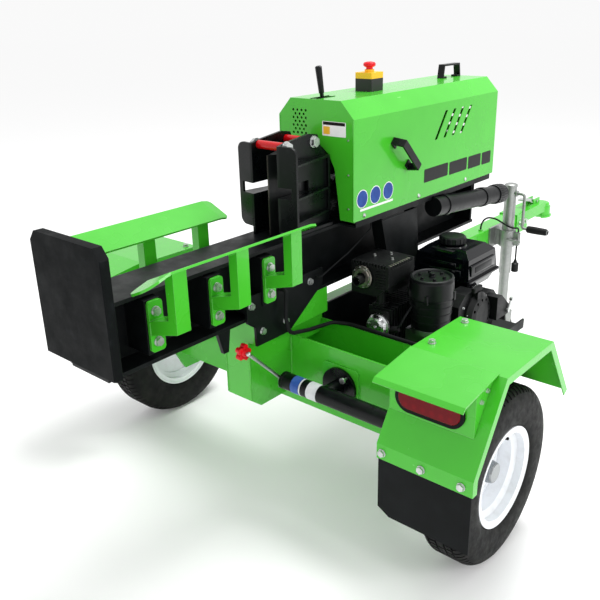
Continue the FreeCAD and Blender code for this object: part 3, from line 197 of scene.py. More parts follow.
def blend(tree, amount, first, second):
    """Mix of two colours, each a hex code or another node's output."""
    made = add(tree, "ShaderNodeMix", data_type="RGBA", links={"Factor": amount})
    for socket, source in ((6, first), (7, second)):
        if isinstance(source, str):
            made.inputs[socket].default_value = linear(source)
        else:
            tree.links.new(source, made.inputs[socket])
    return made.outputs[2]


def times(tree, first, second):
    """Product of two values."""
    return add(tree, "ShaderNodeMath", operation="MULTIPLY", links={0: first, 1: second}).outputs[0]


# ---- finishes -------------------------------------------------------------------
def powder_coat(name, colour, shade, dust, edge):
    """Polyester powder coat over sheet steel: glossy, with a fine orange peel, a painted highlight
    along the edges, a little dust and a few hair scratches."""
    made, tree, shader, place = finish(name, colour, 0.26, Coat_Weight=0.35, Coat_Roughness=0.06)
    shader.inputs["Specular IOR Level"].default_value = 0.35
    clouds = mottle(tree, place, 260, 3.0)
    tone = ramp(tree, clouds, [(0.30, shade), (0.70, colour)])
    specks = add(tree, "ShaderNodeMapRange", links={"Value": mottle(tree, place, 7, 6.0)},
                 values={"From Min": 0.64, "From Max": 0.8, "To Min": 0.0, "To Max": 0.35})
    dusty = blend(tree, specks.outputs["Result"], tone, dust)
    # painted highlight: the edge mask lightens the green towards the pale edge colour
    edges = add(tree, "ShaderNodeMath", operation="MULTIPLY", links={0: edge_wear_and_highlight(tree, 1.6)},
                values={1: 0.55})
    bright = blend(tree, edges.outputs[0], dusty, edge)
    run = add(tree, "ShaderNodeMapping", links={"Vector": place})
    run.inputs["Rotation"].default_value = (0.4, 0.3, 0.6)
    run.inputs["Scale"].default_value = (9.0, 1.0, 9.0)
    hair = add(tree, "ShaderNodeMapRange", links={"Value": mottle(tree, run.outputs["Vector"], 110, 4.0)},
               values={"From Min": 0.735, "From Max": 0.76, "To Min": 0.0, "To Max": 0.5})
    tree.links.new(blend(tree, hair.outputs["Result"], bright, edge), shader.inputs["Base Color"])
    vary_roughness(tree, shader, clouds, 0.20, 0.32)
    relief(tree, shader, mottle(tree, place, 2.2, 2.0), 0.05, 1.4)
    return made


def shop_paint(name, colour="#15181A", bare="#55585A", roughness=0.42, peel_mm=3.0, wear=0.55, gloss=0.16):
    """Brushed-on black machine enamel over hot-rolled steel, thin along the edges and scuffed."""
    made, tree, shader, place = finish(name, colour, roughness)
    shader.inputs["Specular IOR Level"].default_value = gloss
    scuffs = add(tree, "ShaderNodeMapRange", links={"Value": mottle(tree, place, 38, 8.0)},
                 values={"From Min": 0.55, "From Max": 0.75, "To Min": 0.0, "To Max": 0.30})
    rubbed = times(tree, edge_wear_and_highlight(tree, 2.0), mottle(tree, place, 12, 5.0))
    tone = blend(tree, scuffs.outputs["Result"], colour, "#23282B")
    lift = add(tree, "ShaderNodeMath", operation="MULTIPLY", links={0: rubbed}, values={1: wear})
    tree.links.new(blend(tree, lift.outputs[0], tone, bare), shader.inputs["Base Color"])
    vary_roughness(tree, shader, mottle(tree, place, 60, 5.0), roughness - 0.10, roughness + 0.14)
    relief(tree, shader, mottle(tree, place, peel_mm, 3.0), 0.12, 1.6)
    return made


def white_enamel(hub_grey="#8E9294"):
    """Stoved white enamel on the pressed rims; the grease cap in their middle is bare pressed steel."""
    made, tree, shader, place = finish("white_enamel", "#E9ECF0", 0.22, Coat_Weight=0.4)
    split = add(tree, "ShaderNodeSeparateXYZ", links={"Vector": place})
    dy = add(tree, "ShaderNodeMath", operation="SUBTRACT", links={0: split.outputs["Y"]}, values={1: AXLE.y})
    dz = add(tree, "ShaderNodeMath", operation="SUBTRACT", links={0: split.outputs["Z"]}, values={1: AXLE.z})
    out = add(tree, "ShaderNodeCombineXYZ", links={0: dy.outputs[0], 1: dz.outputs[0]})
    far = add(tree, "ShaderNodeVectorMath", operation="LENGTH", links={0: out.outputs[0]})
    hub = add(tree, "ShaderNodeMapRange", links={"Value": far.outputs["Value"]},
              values={"From Min": 34.0 * MM, "From Max": 34.6 * MM, "To Min": 1.0, "To Max": 0.0})
    road = add(tree, "ShaderNodeMapRange", links={"Value": mottle(tree, place, 30, 8.0)},
               values={"From Min": 0.5, "From Max": 0.78, "To Min": 0.0, "To Max": 0.25})
    dusty = blend(tree, road.outputs["Result"], "#EDF0F4", "#B7B3AA")
    tree.links.new(blend(tree, hub.outputs["Result"], dusty, hub_grey), shader.inputs["Base Color"])
    tree.links.new(hub.outputs["Result"], shader.inputs["Metallic"])
    relief(tree, shader, mottle(tree, place, 4, 2.0), 0.04, 1.5)
    return made


def tyre_rubber():
    """Carbon-black tread rubber, matt with mould-release shine and grey road dust in the grooves."""
    made, tree, shader, place = finish("tread_rubber", "#141414", 0.62)
    shader.inputs["Specular IOR Level"].default_value = 0.15
    dust = add(tree, "ShaderNodeMapRange", links={"Value": mottle(tree, place, 45, 7.0)},
               values={"From Min": 0.42, "From Max": 0.75, "To Min": 0.0, "To Max": 0.5})
    tree.links.new(blend(tree, dust.outputs["Result"], "#121313", "#2E2D2A"), shader.inputs["Base Color"])
    vary_roughness(tree, shader, mottle(tree, place, 20, 6.0), 0.50, 0.78)
    relief(tree, shader, mottle(tree, place, 1.6, 4.0), 0.15, 0.8)
    return made


def sheet_rubber(name="sheet_rubber", colour="#0C0E0F", grain_mm=2.5):
    """Calendered sheet rubber, dull with a faint bloom."""
    made, tree, shader, place = finish(name, colour, 0.62)
    shader.inputs["Specular IOR Level"].default_value = 0.12
    bloom = add(tree, "ShaderNodeMapRange", links={"Value": mottle(tree, place, 70, 6.0)},
                values={"From Min": 0.4, "From Max": 0.8, "To Min": 0.0, "To Max": 0.35})
    tree.links.new(blend(tree, bloom.outputs["Result"], colour, "#1E2224"), shader.inputs["Base Color"])
    relief(tree, shader, mottle(tree, place, grain_mm, 3.0), 0.10, 1.0)
    return made


def moulded_plastic(name, colour, roughness=0.42, grain_mm=1.2, depth_mm=0.05, coat=0.0):
    """Injection-moulded plastic with a fine spark-eroded grain."""
    made, tree, shader, place = finish(name, colour, roughness, Coat_Weight=coat)
    shader.inputs["Specular IOR Level"].default_value = 0.22
    vary_roughness(tree, shader, mottle(tree, place, 25, 4.0), roughness - 0.07, roughness + 0.08)
    relief(tree, shader, mottle(tree, place, grain_mm, 2.0), depth_mm, 0.9)
    return made


def red_lens():
    """Tinted acrylic lens, glossy, with a grid of faintly bright diodes behind it."""
    made, tree, shader, place = finish("red_lens", "#8E0614", 0.16)
    shader.inputs["Specular IOR Level"].default_value = 0.18
    grid = add(tree, "ShaderNodeTexVoronoi", links={"Vector": place},
               values={"Scale": 1 / (24 * MM), "Randomness": 0.0})
    glow = ramp(tree, grid.outputs["Distance"], [(0.12, "#C42432"), (0.26, "#8E0614"), (0.60, "#6A0410")])
    tree.links.new(glow, shader.inputs["Base Color"])
    relief(tree, shader, mottle(tree, place, 1.5, 2.0), 0.05, 0.8)
    return made


def zinc_plate(name="zinc_plate", colour="#E2E4E3", roughness=0.30, dull="#B4B8B7"):
    """Bright zinc plate with faint spangle and duller patches."""
    made, tree, shader, place = finish(name, colour, roughness, 1.0)
    cells = add(tree, "ShaderNodeTexVoronoi", links={"Vector": place}, values={"Scale": 1 / (9 * MM)})
    patch = blend(tree, mottle(tree, place, 35, 6.0), dull, colour)
    tone = add(tree, "ShaderNodeMapRange", links={"Value": cells.outputs["Distance"]},
               values={"From Min": 0.0, "From Max": 0.9, "To Min": 0.0, "To Max": 0.3})
    tree.links.new(blend(tree, tone.outputs["Result"], patch, "#8C908F"), shader.inputs["Base Color"])
    vary_roughness(tree, shader, mottle(tree, place, 14, 5.0), roughness - 0.08, roughness + 0.16)
    relief(tree, shader, mottle(tree, place, 3, 3.0), 0.04, 0.7)
    return made


def bare_steel(name, colour="#9A9C9E", roughness=0.30, stretch=(1, 12, 1)):
    """Machined steel with fine tool lines along its length under a film of oil."""
    made, tree, shader, place = finish(name, colour, roughness, 1.0)
    run = add(tree, "ShaderNodeMapping", links={"Vector": place})
    run.inputs["Scale"].default_value = tuple(1 / s for s in stretch)
    lines = mottle(tree, run.outputs["Vector"], 1.5, 3.0)
    tree.links.new(ramp(tree, lines, [(0.35, "#6F7173"), (0.65, colour)]), shader.inputs["Base Color"])
    vary_roughness(tree, shader, lines, roughness - 0.08, roughness + 0.12)
    relief(tree, shader, lines, 0.03, 0.8)
    return made


def cast_metal(name, colour, roughness, metallic, grit_mm=2.0, wear="#6C6F71"):
    """Sand-cast or pressure-cast metal with a pebbled skin and rubbed corners."""
    made, tree, shader, place = finish(name, colour, roughness, metallic)
    if not metallic:
        shader.inputs["Specular IOR Level"].default_value = 0.22
    rub = times(tree, edge_wear_and_highlight(tree, 1.2), mottle(tree, place, 9, 5.0))
    tree.links.new(blend(tree, rub, colour, wear), shader.inputs["Base Color"])
    vary_roughness(tree, shader, mottle(tree, place, 30, 5.0), roughness - 0.1, roughness + 0.15)
    relief(tree, shader, mottle(tree, place, grit_mm, 5.0), 0.18, 1.0)
    return made


def wedge_finish():
    """Black enamel with the cutting nose ground bright."""
    made, tree, shader, place = finish("wedge_finish", "#0B0E0F", 0.42)
    ground = add(tree, "ShaderNodeMath", operation="SUBTRACT", values={0: 1.0},
                 links={1: part_of(tree, place, "Y", -634.0, 1.0)})
    grind = mottle(tree, place, 1.5, 3.0)
    bright = ramp(tree, grind, [(0.3, "#4A4744"), (0.7, "#7A756E")])
    tree.links.new(blend(tree, ground.outputs[0], "#0B0E0F", bright), shader.inputs["Base Color"])
    tree.links.new(ground.outputs[0], shader.inputs["Metallic"])
    relief(tree, shader, grind, 0.06, 1.2)
    return made


def button_box():
    """Moulded switch box: black base and yellow cover."""
    made, tree, shader, place = finish("button_box", "#17181A", 0.40)
    yellow = blend(tree, part_of(tree, place, "Z", 1216.0), "#0C0D0E", "#F5B90A")
    tree.links.new(yellow, shader.inputs["Base Color"])
    relief(tree, shader, mottle(tree, place, 1.2, 2.0), 0.05, 1.0)
    return made


def paper_sweep():
    """Matt white paper on a light table, so that it stays pale between the soft shadows."""
    made, tree, shader, place = finish("paper_sweep", "#FAFAFA", 0.95)
    shader.inputs["Specular IOR Level"].default_value = 0.0
    shader.inputs["Emission Color"].default_value = linear("#FFFFFF")
    shader.inputs["Emission Strength"].default_value = 0.04
    relief(tree, shader, mottle(tree, place, 4.0, 2.0), 0.02, 0.5)
    return made


def printed_film(name, colour, edge):
    """Glossy vinyl sticker, a little lighter where it has been rubbed."""
    made, tree, shader, place = finish(name, colour, 0.34)
    shader.inputs["Specular IOR Level"].default_value = 0.2
    tree.links.new(ramp(tree, mottle(tree, place, 25, 5.0), [(0.35, colour), (0.75, edge)]),
                   shader.inputs["Base Color"])
    return made


FINISH = {
    # the green's last colour is a painted edge highlight, which the hair scratches share
    "green": powder_coat("powder_coat_green", "#44BC29", "#3EB024", "#67C24B", "#A9E79A"),
    "beam": shop_paint("beam_enamel", "#0B0E0F", "#4A4E50", 0.40, 3.0, 0.4),
    "plate": shop_paint("plate_enamel", "#090C0D", "#44484A", 0.55, 5.0, 0.5, 0.08),
    "black": shop_paint("gloss_black_enamel", "#030607", "#34383A", 0.30, 2.5, 0.4, 0.25),
    "white": white_enamel(),
    "tyre": tyre_rubber(),
    "rubber": sheet_rubber(),
    "sleeve": sheet_rubber("cable_sleeve", "#141516", 1.5),
    "lens": red_lens(),
    "red": moulded_plastic("red_acetal", "#D90A1C", 0.30, 1.5, 0.03, 0.2),
    "red_enamel": moulded_plastic("red_enamel", "#C20A12", 0.24, 2.0, 0.03, 0.3),
    "zinc": zinc_plate(),
    "dull_zinc": zinc_plate("dull_zinc", "#B2B4B1", 0.42, "#8A8D8B"),
    "pipe_bright": zinc_plate("heated_steel", "#A39C90", 0.36, "#6E6760"),
    "steel": bare_steel("oiled_steel"),
    "iron": cast_metal("cast_iron_grey", "#3A3B3C", 0.5, 0.6),
    "engine_black": cast_metal("black_stoved_casting", "#090B0C", 0.42, 0.0, 2.0, "#3A3D3F"),
    "heat_black": cast_metal("heat_resistant_black", "#0E1010", 0.45, 0.0, 1.6, "#6A6D6E"),
    "silver": cast_metal("bright_aluminium_casting", "#C6C8C9", 0.30, 1.0, 1.8, "#E4E6E7"),
    "dull_silver": cast_metal("grey_aluminium_casting", "#8C8F90", 0.42, 1.0, 1.8, "#BFC1C2"),
    "abs": moulded_plastic("black_abs", "#0C0E10", 0.36),
    "soft_grip": moulded_plastic("soft_black_grip", "#0B0C0D", 0.60, 2.0, 0.12),
    "tank": moulded_plastic("gloss_black_tank", "#04060A", 0.12, 3.0, 0.02, 0.25),
    "wedge": wedge_finish(),
    "button_box": button_box(),
}

WEARS = {
    "green": ("hood", "cross_channel", "tongue_tube", "fenders", "light_boxes", "log_cradles",
              "coupler_body"),
    "beam": ("main_beam", "saddle_plates", "bearing_plates", "engine_tray", "belt_guard"),
    "plate": ("end_plate",),
    "black": ("stripper_plates", "hood_handles", "control_lever", "rear_jack_tube"),
    "white": ("rim_right", "rim_left"),
    "tyre": ("tyre_right", "tyre_left", "jockey_wheel"),
    "rubber": ("mud_flaps", "light_grommets", "drive_belt"),
    "sleeve": ("wiring_loom", "light_lead"),
    "lens": ("light_lenses",),
    "red": ("estop_button", "star_knob", "engine_switch"),
    "red_enamel": ("tie_sleeves",),
    "zinc": ("fasteners", "rear_jack_crank", "swivel_pin", "coupler_latch", "throttle_lever"),
    "dull_zinc": ("tongue_jack", "jack_leg", "jockey_fork", "jack_crank"),
    "steel": ("ram_rack", "pinion_shaft", "crankshaft", "rear_jack_leg"),
    "iron": ("flywheels",),
    "engine_black": ("engine_block", "blower_housing"),
    "heat_black": ("muffler",),
    "silver": ("valve_cover",),
    "dull_silver": ("carburettor",),
    "abs": ("air_cleaner", "document_tube", "tube_cap", "fuel_cap", "light_plug"),
    "soft_grip": ("recoil_grip",),
    "tank": ("fuel_tank",),
    "wedge": ("wedge",),
    "button_box": ("estop_housing",),
}


def dress_frame():
    """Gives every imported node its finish."""
    for look, names in WEARS.items():
        for name in names:
            for place in nodes[name].material_slots:
                place.material = FINISH[look]


# ---- modelling helpers --------------------------------------------------------------
def mm(*values):
    """Millimetres to metres."""
    return tuple(value * MM for value in values)


def open_piece():
    """Object mode with nothing selected."""
    if bpy.context.object and bpy.context.object.mode != "OBJECT":
        bpy.ops.object.mode_set(mode="OBJECT")
    bpy.ops.object.select_all(action="DESELECT")


def close_piece(name, body, look, angle=35):
    """Names, places, smooths, paints and mounts the piece just modelled."""
    if bpy.context.object.mode != "OBJECT":
        bpy.ops.object.mode_set(mode="OBJECT")
    made = bpy.context.object
    made.name = name
    made.data.name = name
    bpy.ops.object.transform_apply(location=True, rotation=True, scale=True)
    bpy.ops.object.shade_smooth_by_angle(angle=radians(angle))
    made.data.materials.clear()
    made.data.materials.append(FINISH[look] if isinstance(look, str) else look)
    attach(made, body)
    return made


def block(low, high, bevel_mm=1.0, segments=2):
    """Box between two corners with rounded edges, left active."""
    open_piece()
    low, high = Vector(low), Vector(high)
    bpy.ops.mesh.primitive_cube_add(size=1, location=(low + high) / 2)
    bpy.context.object.scale = high - low
    bpy.ops.object.transform_apply(location=False, rotation=False, scale=True)
    bpy.ops.object.mode_set(mode="EDIT")
    bpy.ops.mesh.select_all(action="SELECT")
    bpy.ops.mesh.bevel(offset=bevel_mm * MM, segments=segments, affect="EDGES")


def chain(points):
    """Open run of edges through the points, left active in edit mode."""
    open_piece()
    places = [Vector(p) for p in points]
    bpy.ops.mesh.primitive_plane_add(size=0.01, location=places[0])
    bpy.ops.object.mode_set(mode="EDIT")
    bpy.ops.mesh.select_mode(type="VERT")
    bpy.ops.mesh.select_all(action="SELECT")
    bpy.ops.mesh.merge(type="CENTER")
    for before, after in zip(places, places[1:]):
        bpy.ops.mesh.extrude_region_move(TRANSFORM_OT_translate={"value": after - before})


def lathe(profile, centre, axis, steps=48):
    """Turned shape from (along the axis, radius) pairs, left active in edit mode."""
    centre, axis = Vector(centre), Vector(axis).normalized()
    side = axis.orthogonal().normalized()
    chain([centre + axis * a + side * r for a, r in profile])
    bpy.ops.mesh.select_all(action="SELECT")
    bpy.ops.mesh.spin(steps=steps, angle=2 * pi, center=centre, axis=axis)
    bpy.ops.mesh.select_all(action="SELECT")
    bpy.ops.mesh.remove_doubles(threshold=1e-5)
    bpy.ops.mesh.normals_make_consistent(inside=False)


def pick_faces(test):
    """Selects the faces whose middle and normal pass the test; the rest are let go."""
    bpy.ops.mesh.select_mode(type="FACE")
    bpy.ops.mesh.select_all(action="DESELECT")
    bpy.ops.object.mode_set(mode="OBJECT")
    made = bpy.context.object
    for face in made.data.polygons:
        face.select = test(made.matrix_world @ face.center, face.normal)
    bpy.ops.object.mode_set(mode="EDIT")


def tube(name, body, points, radius_mm, look):
    """Round rod or hose through the points, closed at its ends."""
    curve = bpy.data.curves.new(name, "CURVE")
    curve.dimensions, curve.bevel_depth = "3D", radius_mm * MM
    curve.bevel_resolution, curve.resolution_u, curve.use_fill_caps = 4, 8, True
    spline = curve.splines.new("NURBS")
    spline.points.add(len(points) - 1)
    for place, point in zip(spline.points, points):
        place.co = (*point, 1.0)
    spline.order_u, spline.use_endpoint_u = 3, True
    made = bpy.data.objects.new(name, curve)
    bpy.context.collection.objects.link(made)
    open_piece()
    made.select_set(True)
    bpy.context.view_layer.objects.active = made
    bpy.ops.object.convert(target="MESH")
    return close_piece(name, body, look, 40)


# ---- trailer-light lead -------------------------------------------------------------
LEAD = [(20, 607.5, 549), (20, 607.5, 575), (36, 623.5, 600), (62, 649.5, 593), (84, 667.5, 575),
        (112, 672.5, 560), (131, 688.5, 553), (134, 717.5, 549), (127, 739.5, 530), (122, 746.5, 500),
        (120, 746.5, 462), (122, 742.5, 424), (122, 742.5, 400)]


def light_lead():
    """Lead of the tail lights: out of the tongue, over the jack's clamp and down beside its tube."""
    curve = bpy.data.curves.new("light_lead_cord", "CURVE")
    curve.dimensions, curve.bevel_depth, curve.bevel_resolution = "3D", 3.5 * MM, 5
    curve.resolution_u, curve.use_fill_caps = 12, True
    spline = curve.splines.new("NURBS")
    spline.points.add(len(LEAD) - 1)
    for place, (x, y, z) in zip(spline.points, LEAD):
        place.co = (x * MM, y * MM, z * MM, 1.0)
    spline.order_u = 3
    spline.use_endpoint_u = True
    cord = bpy.data.objects.new("light_lead_cord", curve)
    cord.data.materials.append(FINISH["sleeve"])
    bpy.context.collection.objects.link(cord)
    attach(cord, "frame")
    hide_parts("light_lead")


# ---- wheels ---------------------------------------------------------------------------
TREAD_STEPS = 240                                # faces round the tread; a notch is one face long


def tyre(side, word):
    """Road tyre: five ribs between four grooves, all notched across, and rounded walls."""
    half, crown, bead = 65.0, 249.0, 128.0
    groove_deep, notch_deep = 6, 2.6
    ribs = [(half - 23, crown - 1.2)]
    for groove in (34, 12):
        ribs += [(groove + 2.5, crown), (groove + 2, crown - groove_deep),
                 (groove - 2, crown - groove_deep), (groove - 2.5, crown)]
    wall = [(half - 14.8, bead), (half - 14.8, 136.5), (half - 11, 143), (half - 6, 147), (half - 1.5, 163),
            (half, 178), (half, 186), (half, 190), (half - 0.5, 205), (half - 3, 222),
            (half - 7, 235), (half - 12, 241), (half - 18, 245.5)]
    right = wall + ribs
    outer = right + [(-a, r) for a, r in reversed(right)]
    inner = [(-half + 27, bead), (-half + 14, 178), (-half + 26, 231), (half - 26, 231), (half - 14, 178),
             (half - 27, bead), right[0]]
    centre = Vector((AXLE.x * side, AXLE.y, AXLE.z))
    lathe([mm(a, r) for a, r in outer + inner], centre, X_AXIS, TREAD_STEPS)
    step = 2 * pi / TREAD_STEPS

    def notch(place, normal):
        """Every third face of the shoulders and ribs, and every sixth of the middle rib."""
        across = abs(place.x - centre.x) / MM
        far = hypot(place.y - centre.y, place.z - centre.z) / MM
        turn = int(atan2(place.z - centre.z, place.y - centre.y) / step + 3 * TREAD_STEPS)
        stagger = 1 if place.x > centre.x else 0
        shoulder = 38 < across < 62 and far > 236 and turn % 3 == 0
        rib = 14 < across < 31.5 and far > 246 and (turn + stagger) % 3 == 0
        middle = across < 9.6 and far > 246 and turn % 6 == 0
        return shoulder or rib or middle
    pick_faces(notch)
    bpy.ops.mesh.extrude_region_shrink_fatten(TRANSFORM_OT_shrink_fatten={"value": -notch_deep * MM})
    made = close_piece("tread_tyre_" + word, "wheel_" + word, "tyre", 40)
    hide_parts("tyre_" + word)


def valve(side, word):
    """Rubber valve stem with its cap, through the rim's outer wall."""
    foot = Vector((AXLE.x * side + side * 28 * MM, AXLE.y, AXLE.z + 118 * MM))
    lathe([mm(0, 0), mm(0, 5), mm(10, 4.4), mm(20, 3.6), mm(20.5, 4.2), mm(29, 4.2), mm(30, 3.4), mm(30, 0)],
          foot, (side, 0, 0), 16)
    made = close_piece("valve_stem_" + word, "wheel_" + word, "sleeve")


# ---- stickers -------------------------------------------------------------------------
def sticker(name, middle, across, up, width_mm, height_mm, look, corner_mm=4.0, body="frame"):
    """Vinyl label 0.3 mm thick on a flat face."""
    open_piece()
    across, up = Vector(across).normalized(), Vector(up).normalized()
    out = across.cross(up)
    bpy.ops.mesh.primitive_plane_add(size=1)
    made = bpy.context.object
    made.matrix_world = (Matrix.Translation(Vector(middle) + out * 0.15 * MM)
                         @ Matrix((across, up, out)).transposed().to_4x4()
                         @ Matrix.Diagonal((width_mm * MM, height_mm * MM, 1, 1)))
    bpy.ops.object.transform_apply(location=True, rotation=True, scale=True)
    bpy.ops.object.mode_set(mode="EDIT")
    bpy.ops.mesh.bevel(offset=corner_mm * MM, segments=4, affect="VERTICES")
    bpy.ops.mesh.extrude_region_move(TRANSFORM_OT_translate={"value": out * 0.25 * MM})
    bpy.ops.mesh.select_all(action="SELECT")
    bpy.ops.mesh.normals_make_consistent(inside=False)
    return close_piece(name, body, look)


def stickers():
    """Plain coloured labels with no lettering or signs."""
    blue = printed_film("blue_film", "#123C8C", "#1F4FA0")
    white = printed_film("white_film", "#E9EAEA", "#F4F4F4")
    black = printed_film("black_film", "#060708", "#101212")
    amber = printed_film("amber_film", "#E8B32A", "#EFC251")
    side = HOOD_SIDE + 0.1 * MM
    above = 0.3 * MM
    disc_z = 895.5 * MM
    for k in range(3):
        y = (-386.5 + 66.5 * k) * MM
        sticker("round_label_rim_%d" % k, (side, y, disc_z), Y_AXIS, Z_AXIS, 56, 56, white, 27.9)
        sticker("round_label_%d" % k, (side + above, y, disc_z), Y_AXIS, Z_AXIS, 51, 51, blue, 25.4)
    sticker("strip_label", (side, -312 * MM, 862 * MM), Y_AXIS, Z_AXIS, 170, 7, white, 1.5)
    for k, (start, length) in enumerate(((-48, 150), (112, 120), (242, 90), (342, 66))):
        middle = (side, (start + length / 2) * MM, (902 - 0.012 * start) * MM)
        sticker("dark_stripe_%d" % k, middle, Y_AXIS, Z_AXIS, length, 44, black, 5)
    front = HOOD_REAR - 0.1 * MM
    sticker("front_label", (70 * MM, front, 1098 * MM), X_AXIS, Z_AXIS, 86, 42, white, 3)
    for name, x, z, width, height, look, corner in (("band", 70, 1113, 80, 9, black, 1),
                                                    ("block", 43, 1093, 24, 22, amber, 2)):
        middle = (x * MM, front - above, z * MM)
        sticker("front_label_" + name, middle, X_AXIS, Z_AXIS, width, height, look, corner)


def jack_band():
    """Printed bands round the swing-down jack: one blue and two silver."""
    tube_y, tube_z, radius, grow = -690.5 * MM, 407 * MM, 25.7 * MM, 0.3 * MM
    blue = printed_film("blue_sleeve", "#2B4F9E", "#4A6DB5")
    silver = printed_film("silver_sleeve", "#C9CCD0", "#E2E4E6")
    bands = (("blue", 130, 160, blue), ("silver", 161, 166, silver), ("silver_far", 188, 224, silver))
    for name, x0, x1, look in bands:
        length = (x1 - x0) * MM
        lathe([(0, radius), (0, radius + grow), (length, radius + grow), (length, radius)],
              (x0 * MM, tube_y, tube_z), X_AXIS, 64)
        close_piece("jack_band_" + name, "rear_jack", look)


# ---- welds ----------------------------------------------------------------------------
def weld(name, start, end, look="green", radius_mm=3.0, body="frame"):
    """Fillet bead laid as overlapping ripples from start to end."""
    open_piece()
    start, end = Vector(start) * MM, Vector(end) * MM
    run = end - start
    pitch = 2.6 * MM
    bpy.ops.mesh.primitive_uv_sphere_add(segments=8, ring_count=5, radius=radius_mm * MM, location=start)
    made = bpy.context.object
    made.rotation_euler = run.to_track_quat("Z", "Y").to_euler()
    made.scale = (1, 1, 0.75)
    bpy.ops.object.transform_apply(location=False, rotation=True, scale=True)
    copies = made.modifiers.new("ripples", "ARRAY")
    copies.use_relative_offset = False
    copies.use_constant_offset = True
    copies.constant_offset_displace = run.normalized() * pitch
    copies.count = max(2, int(run.length / pitch))
    bpy.ops.object.modifier_apply(modifier="ripples")
    return close_piece(name, body, look, 60)


def welds():
    """Beads where the brackets, pedestal, plates and tubes meet."""
    for side, word in SIDES:
        for k, y in enumerate((-1130.5, -935.5, -741.5)):
            for edge, dy in (("rear", -20), ("front", 20)):
                tag = "_%s_%s_%d" % (word, edge, k)
                arm_x, bar_x0, bar_x1 = side * 95.5, side * 167, side * 193
                weld("cradle_arm_weld" + tag, (arm_x, y + dy, 717), (arm_x, y + dy, 751), "green", 2.6)
                weld("cradle_bar_weld" + tag, (bar_x0, y + dy, 877), (bar_x1, y + dy, 888.5), "green", 2.6)
        weld("pedestal_weld_" + word, (side * 47, -790, 370), (side * 47, -790, 550))
        weld("pedestal_channel_weld_" + word, (side * 47.5, -613.5, 337), (side * 47.5, -613.5, 513))
        weld("head_weld_" + word, (side * 48, -789, 551), (side * 48, -614, 551))
        weld("plate_weld_" + word, (side * 75, -1263.5, 640), (side * 75, -1263.5, 816), "beam")
        weld("bracket_weld_" + word, (side * 523, -611, 303), (side * 523, -611, 512))
        weld("handle_weld_" + word, (side * 30, -1263.5, 819), (side * 73, -1263.5, 819), "beam")


# ---- engine dressing --------------------------------------------------------------------
CLEANER_X, CLEANER_Y = 330, -290.5               # middle of the air cleaner, mm
OUTLET_X, OUTLET_Y, OUTLET_Z = 158, -406, 662    # middle of the silencer's outlet, mm


def bolt_head(name, place, axis, size_mm, look="zinc", body="frame"):
    """Flanged hexagon head standing on a face."""
    s = size_mm * MM
    lathe([(0, 0), (0, s), (0.25 * s, 0.92 * s), (0.3 * s, 0.8 * s), (1.0 * s, 0.78 * s), (1.1 * s, 0.66 * s),
           (1.1 * s, 0)], Vector(place) * MM, axis, 6)
    return close_piece(name, body, look, 25)


def engine_details():
    """Spark plug's boot and lead, the fuel hose, and the clips and screws on the engine."""
    lead = ((262, -392, 512), (286, -398, 520), (296, -380, 560), (300, -330, 590), (330, -262, 600),
            (352, -200, 594), (352, -192, 580))
    tube("plug_lead", "frame", [mm(*point) for point in lead], 3.4, "sleeve")
    lathe([mm(0, 0), mm(0, 9), mm(8, 11), mm(26, 11), mm(34, 6), mm(34, 0)],
          mm(252, -392, 508), (1, 0, 0.25), 20)
    close_piece("plug_boot", "frame", "soft_grip")
    hose = ((280, -110, 566), (284, -128, 556), (290, -170, 500), (296, -236, 470), (296, -280, 462),
            (296, -296, 458))
    tube("fuel_hose", "frame", [mm(*point) for point in hose], 4.0, "sleeve")
    for k in range(3):
        turn = radians(30 + 120 * k)
        bolt_head("cover_screw_%d" % k, (220 + 25 * cos(turn), -430.5, 518 + 25 * sin(turn)), (0, -1, 0), 4.2)
    for k, (y, z) in enumerate(((-204, 440), (-204, 552), (-100, 436), (-30, 470), (-100, 552))):
        bolt_head("shroud_screw_%d" % k, (391.8, y, z), X_AXIS, 4.6)
    for k in range(3):
        turn = radians(45 + 120 * k)
        place = (398, -122.5 + 70 * cos(turn), 506 + 70 * sin(turn))
        bolt_head("starter_screw_%d" % k, place, X_AXIS, 3.6)
    bolt_head("cleaner_knob", (CLEANER_X, CLEANER_Y, 667), Z_AXIS, 11, "abs")
    for turn in (radians(200), radians(290), radians(20)):
        x, y = CLEANER_X + 67 * cos(turn), CLEANER_Y + 67 * sin(turn)
        block(mm(x - 5, y - 5, 600), mm(x + 5, y + 5, 628), 1.5)
        close_piece("cleaner_clip_%d" % round(turn * 10), "frame", "abs")


def silencer_details():
    """Outlet flange with its screws, side louvres, and the bright tabs and screws on the shield."""
    lathe([mm(0, 13), mm(0, 36), mm(3, 36), mm(4, 34), mm(4, 30), mm(7, 27), mm(7, 15.5), mm(0, 13)],
          Vector((OUTLET_X, OUTLET_Y, OUTLET_Z)) * MM, (0, -1, 0), 48)
    close_piece("outlet_flange", "frame", "pipe_bright")
    for k in range(8):
        turn = 2 * pi * k / 8 + 0.2
        place = (OUTLET_X + 31 * cos(turn), OUTLET_Y - 3.5, OUTLET_Z + 31 * sin(turn))
        bolt_head("outlet_screw_%d" % k, place, (0, -1, 0), 3.6, "dull_zinc")
    for k in range(7):
        z = 630 + 9 * k
        block(mm(201, -402.6, z), mm(236, -400.0, z + 4.5), 1.0)
        close_piece("shield_louvre_%d" % k, "frame", "heat_black")
    for k in range(9):
        y = -388 + 12 * k
        block(mm(238, y, 707.2), mm(249, y + 6, 709.0), 0.8)
        close_piece("shield_tab_%d" % k, "frame", "pipe_bright")
    for k, (x, y) in enumerate(((150, -332), (215, -332), (182, -290))):
        bolt_head("shield_screw_%d" % k, (x, y, 708), Z_AXIS, 6, "dull_zinc")


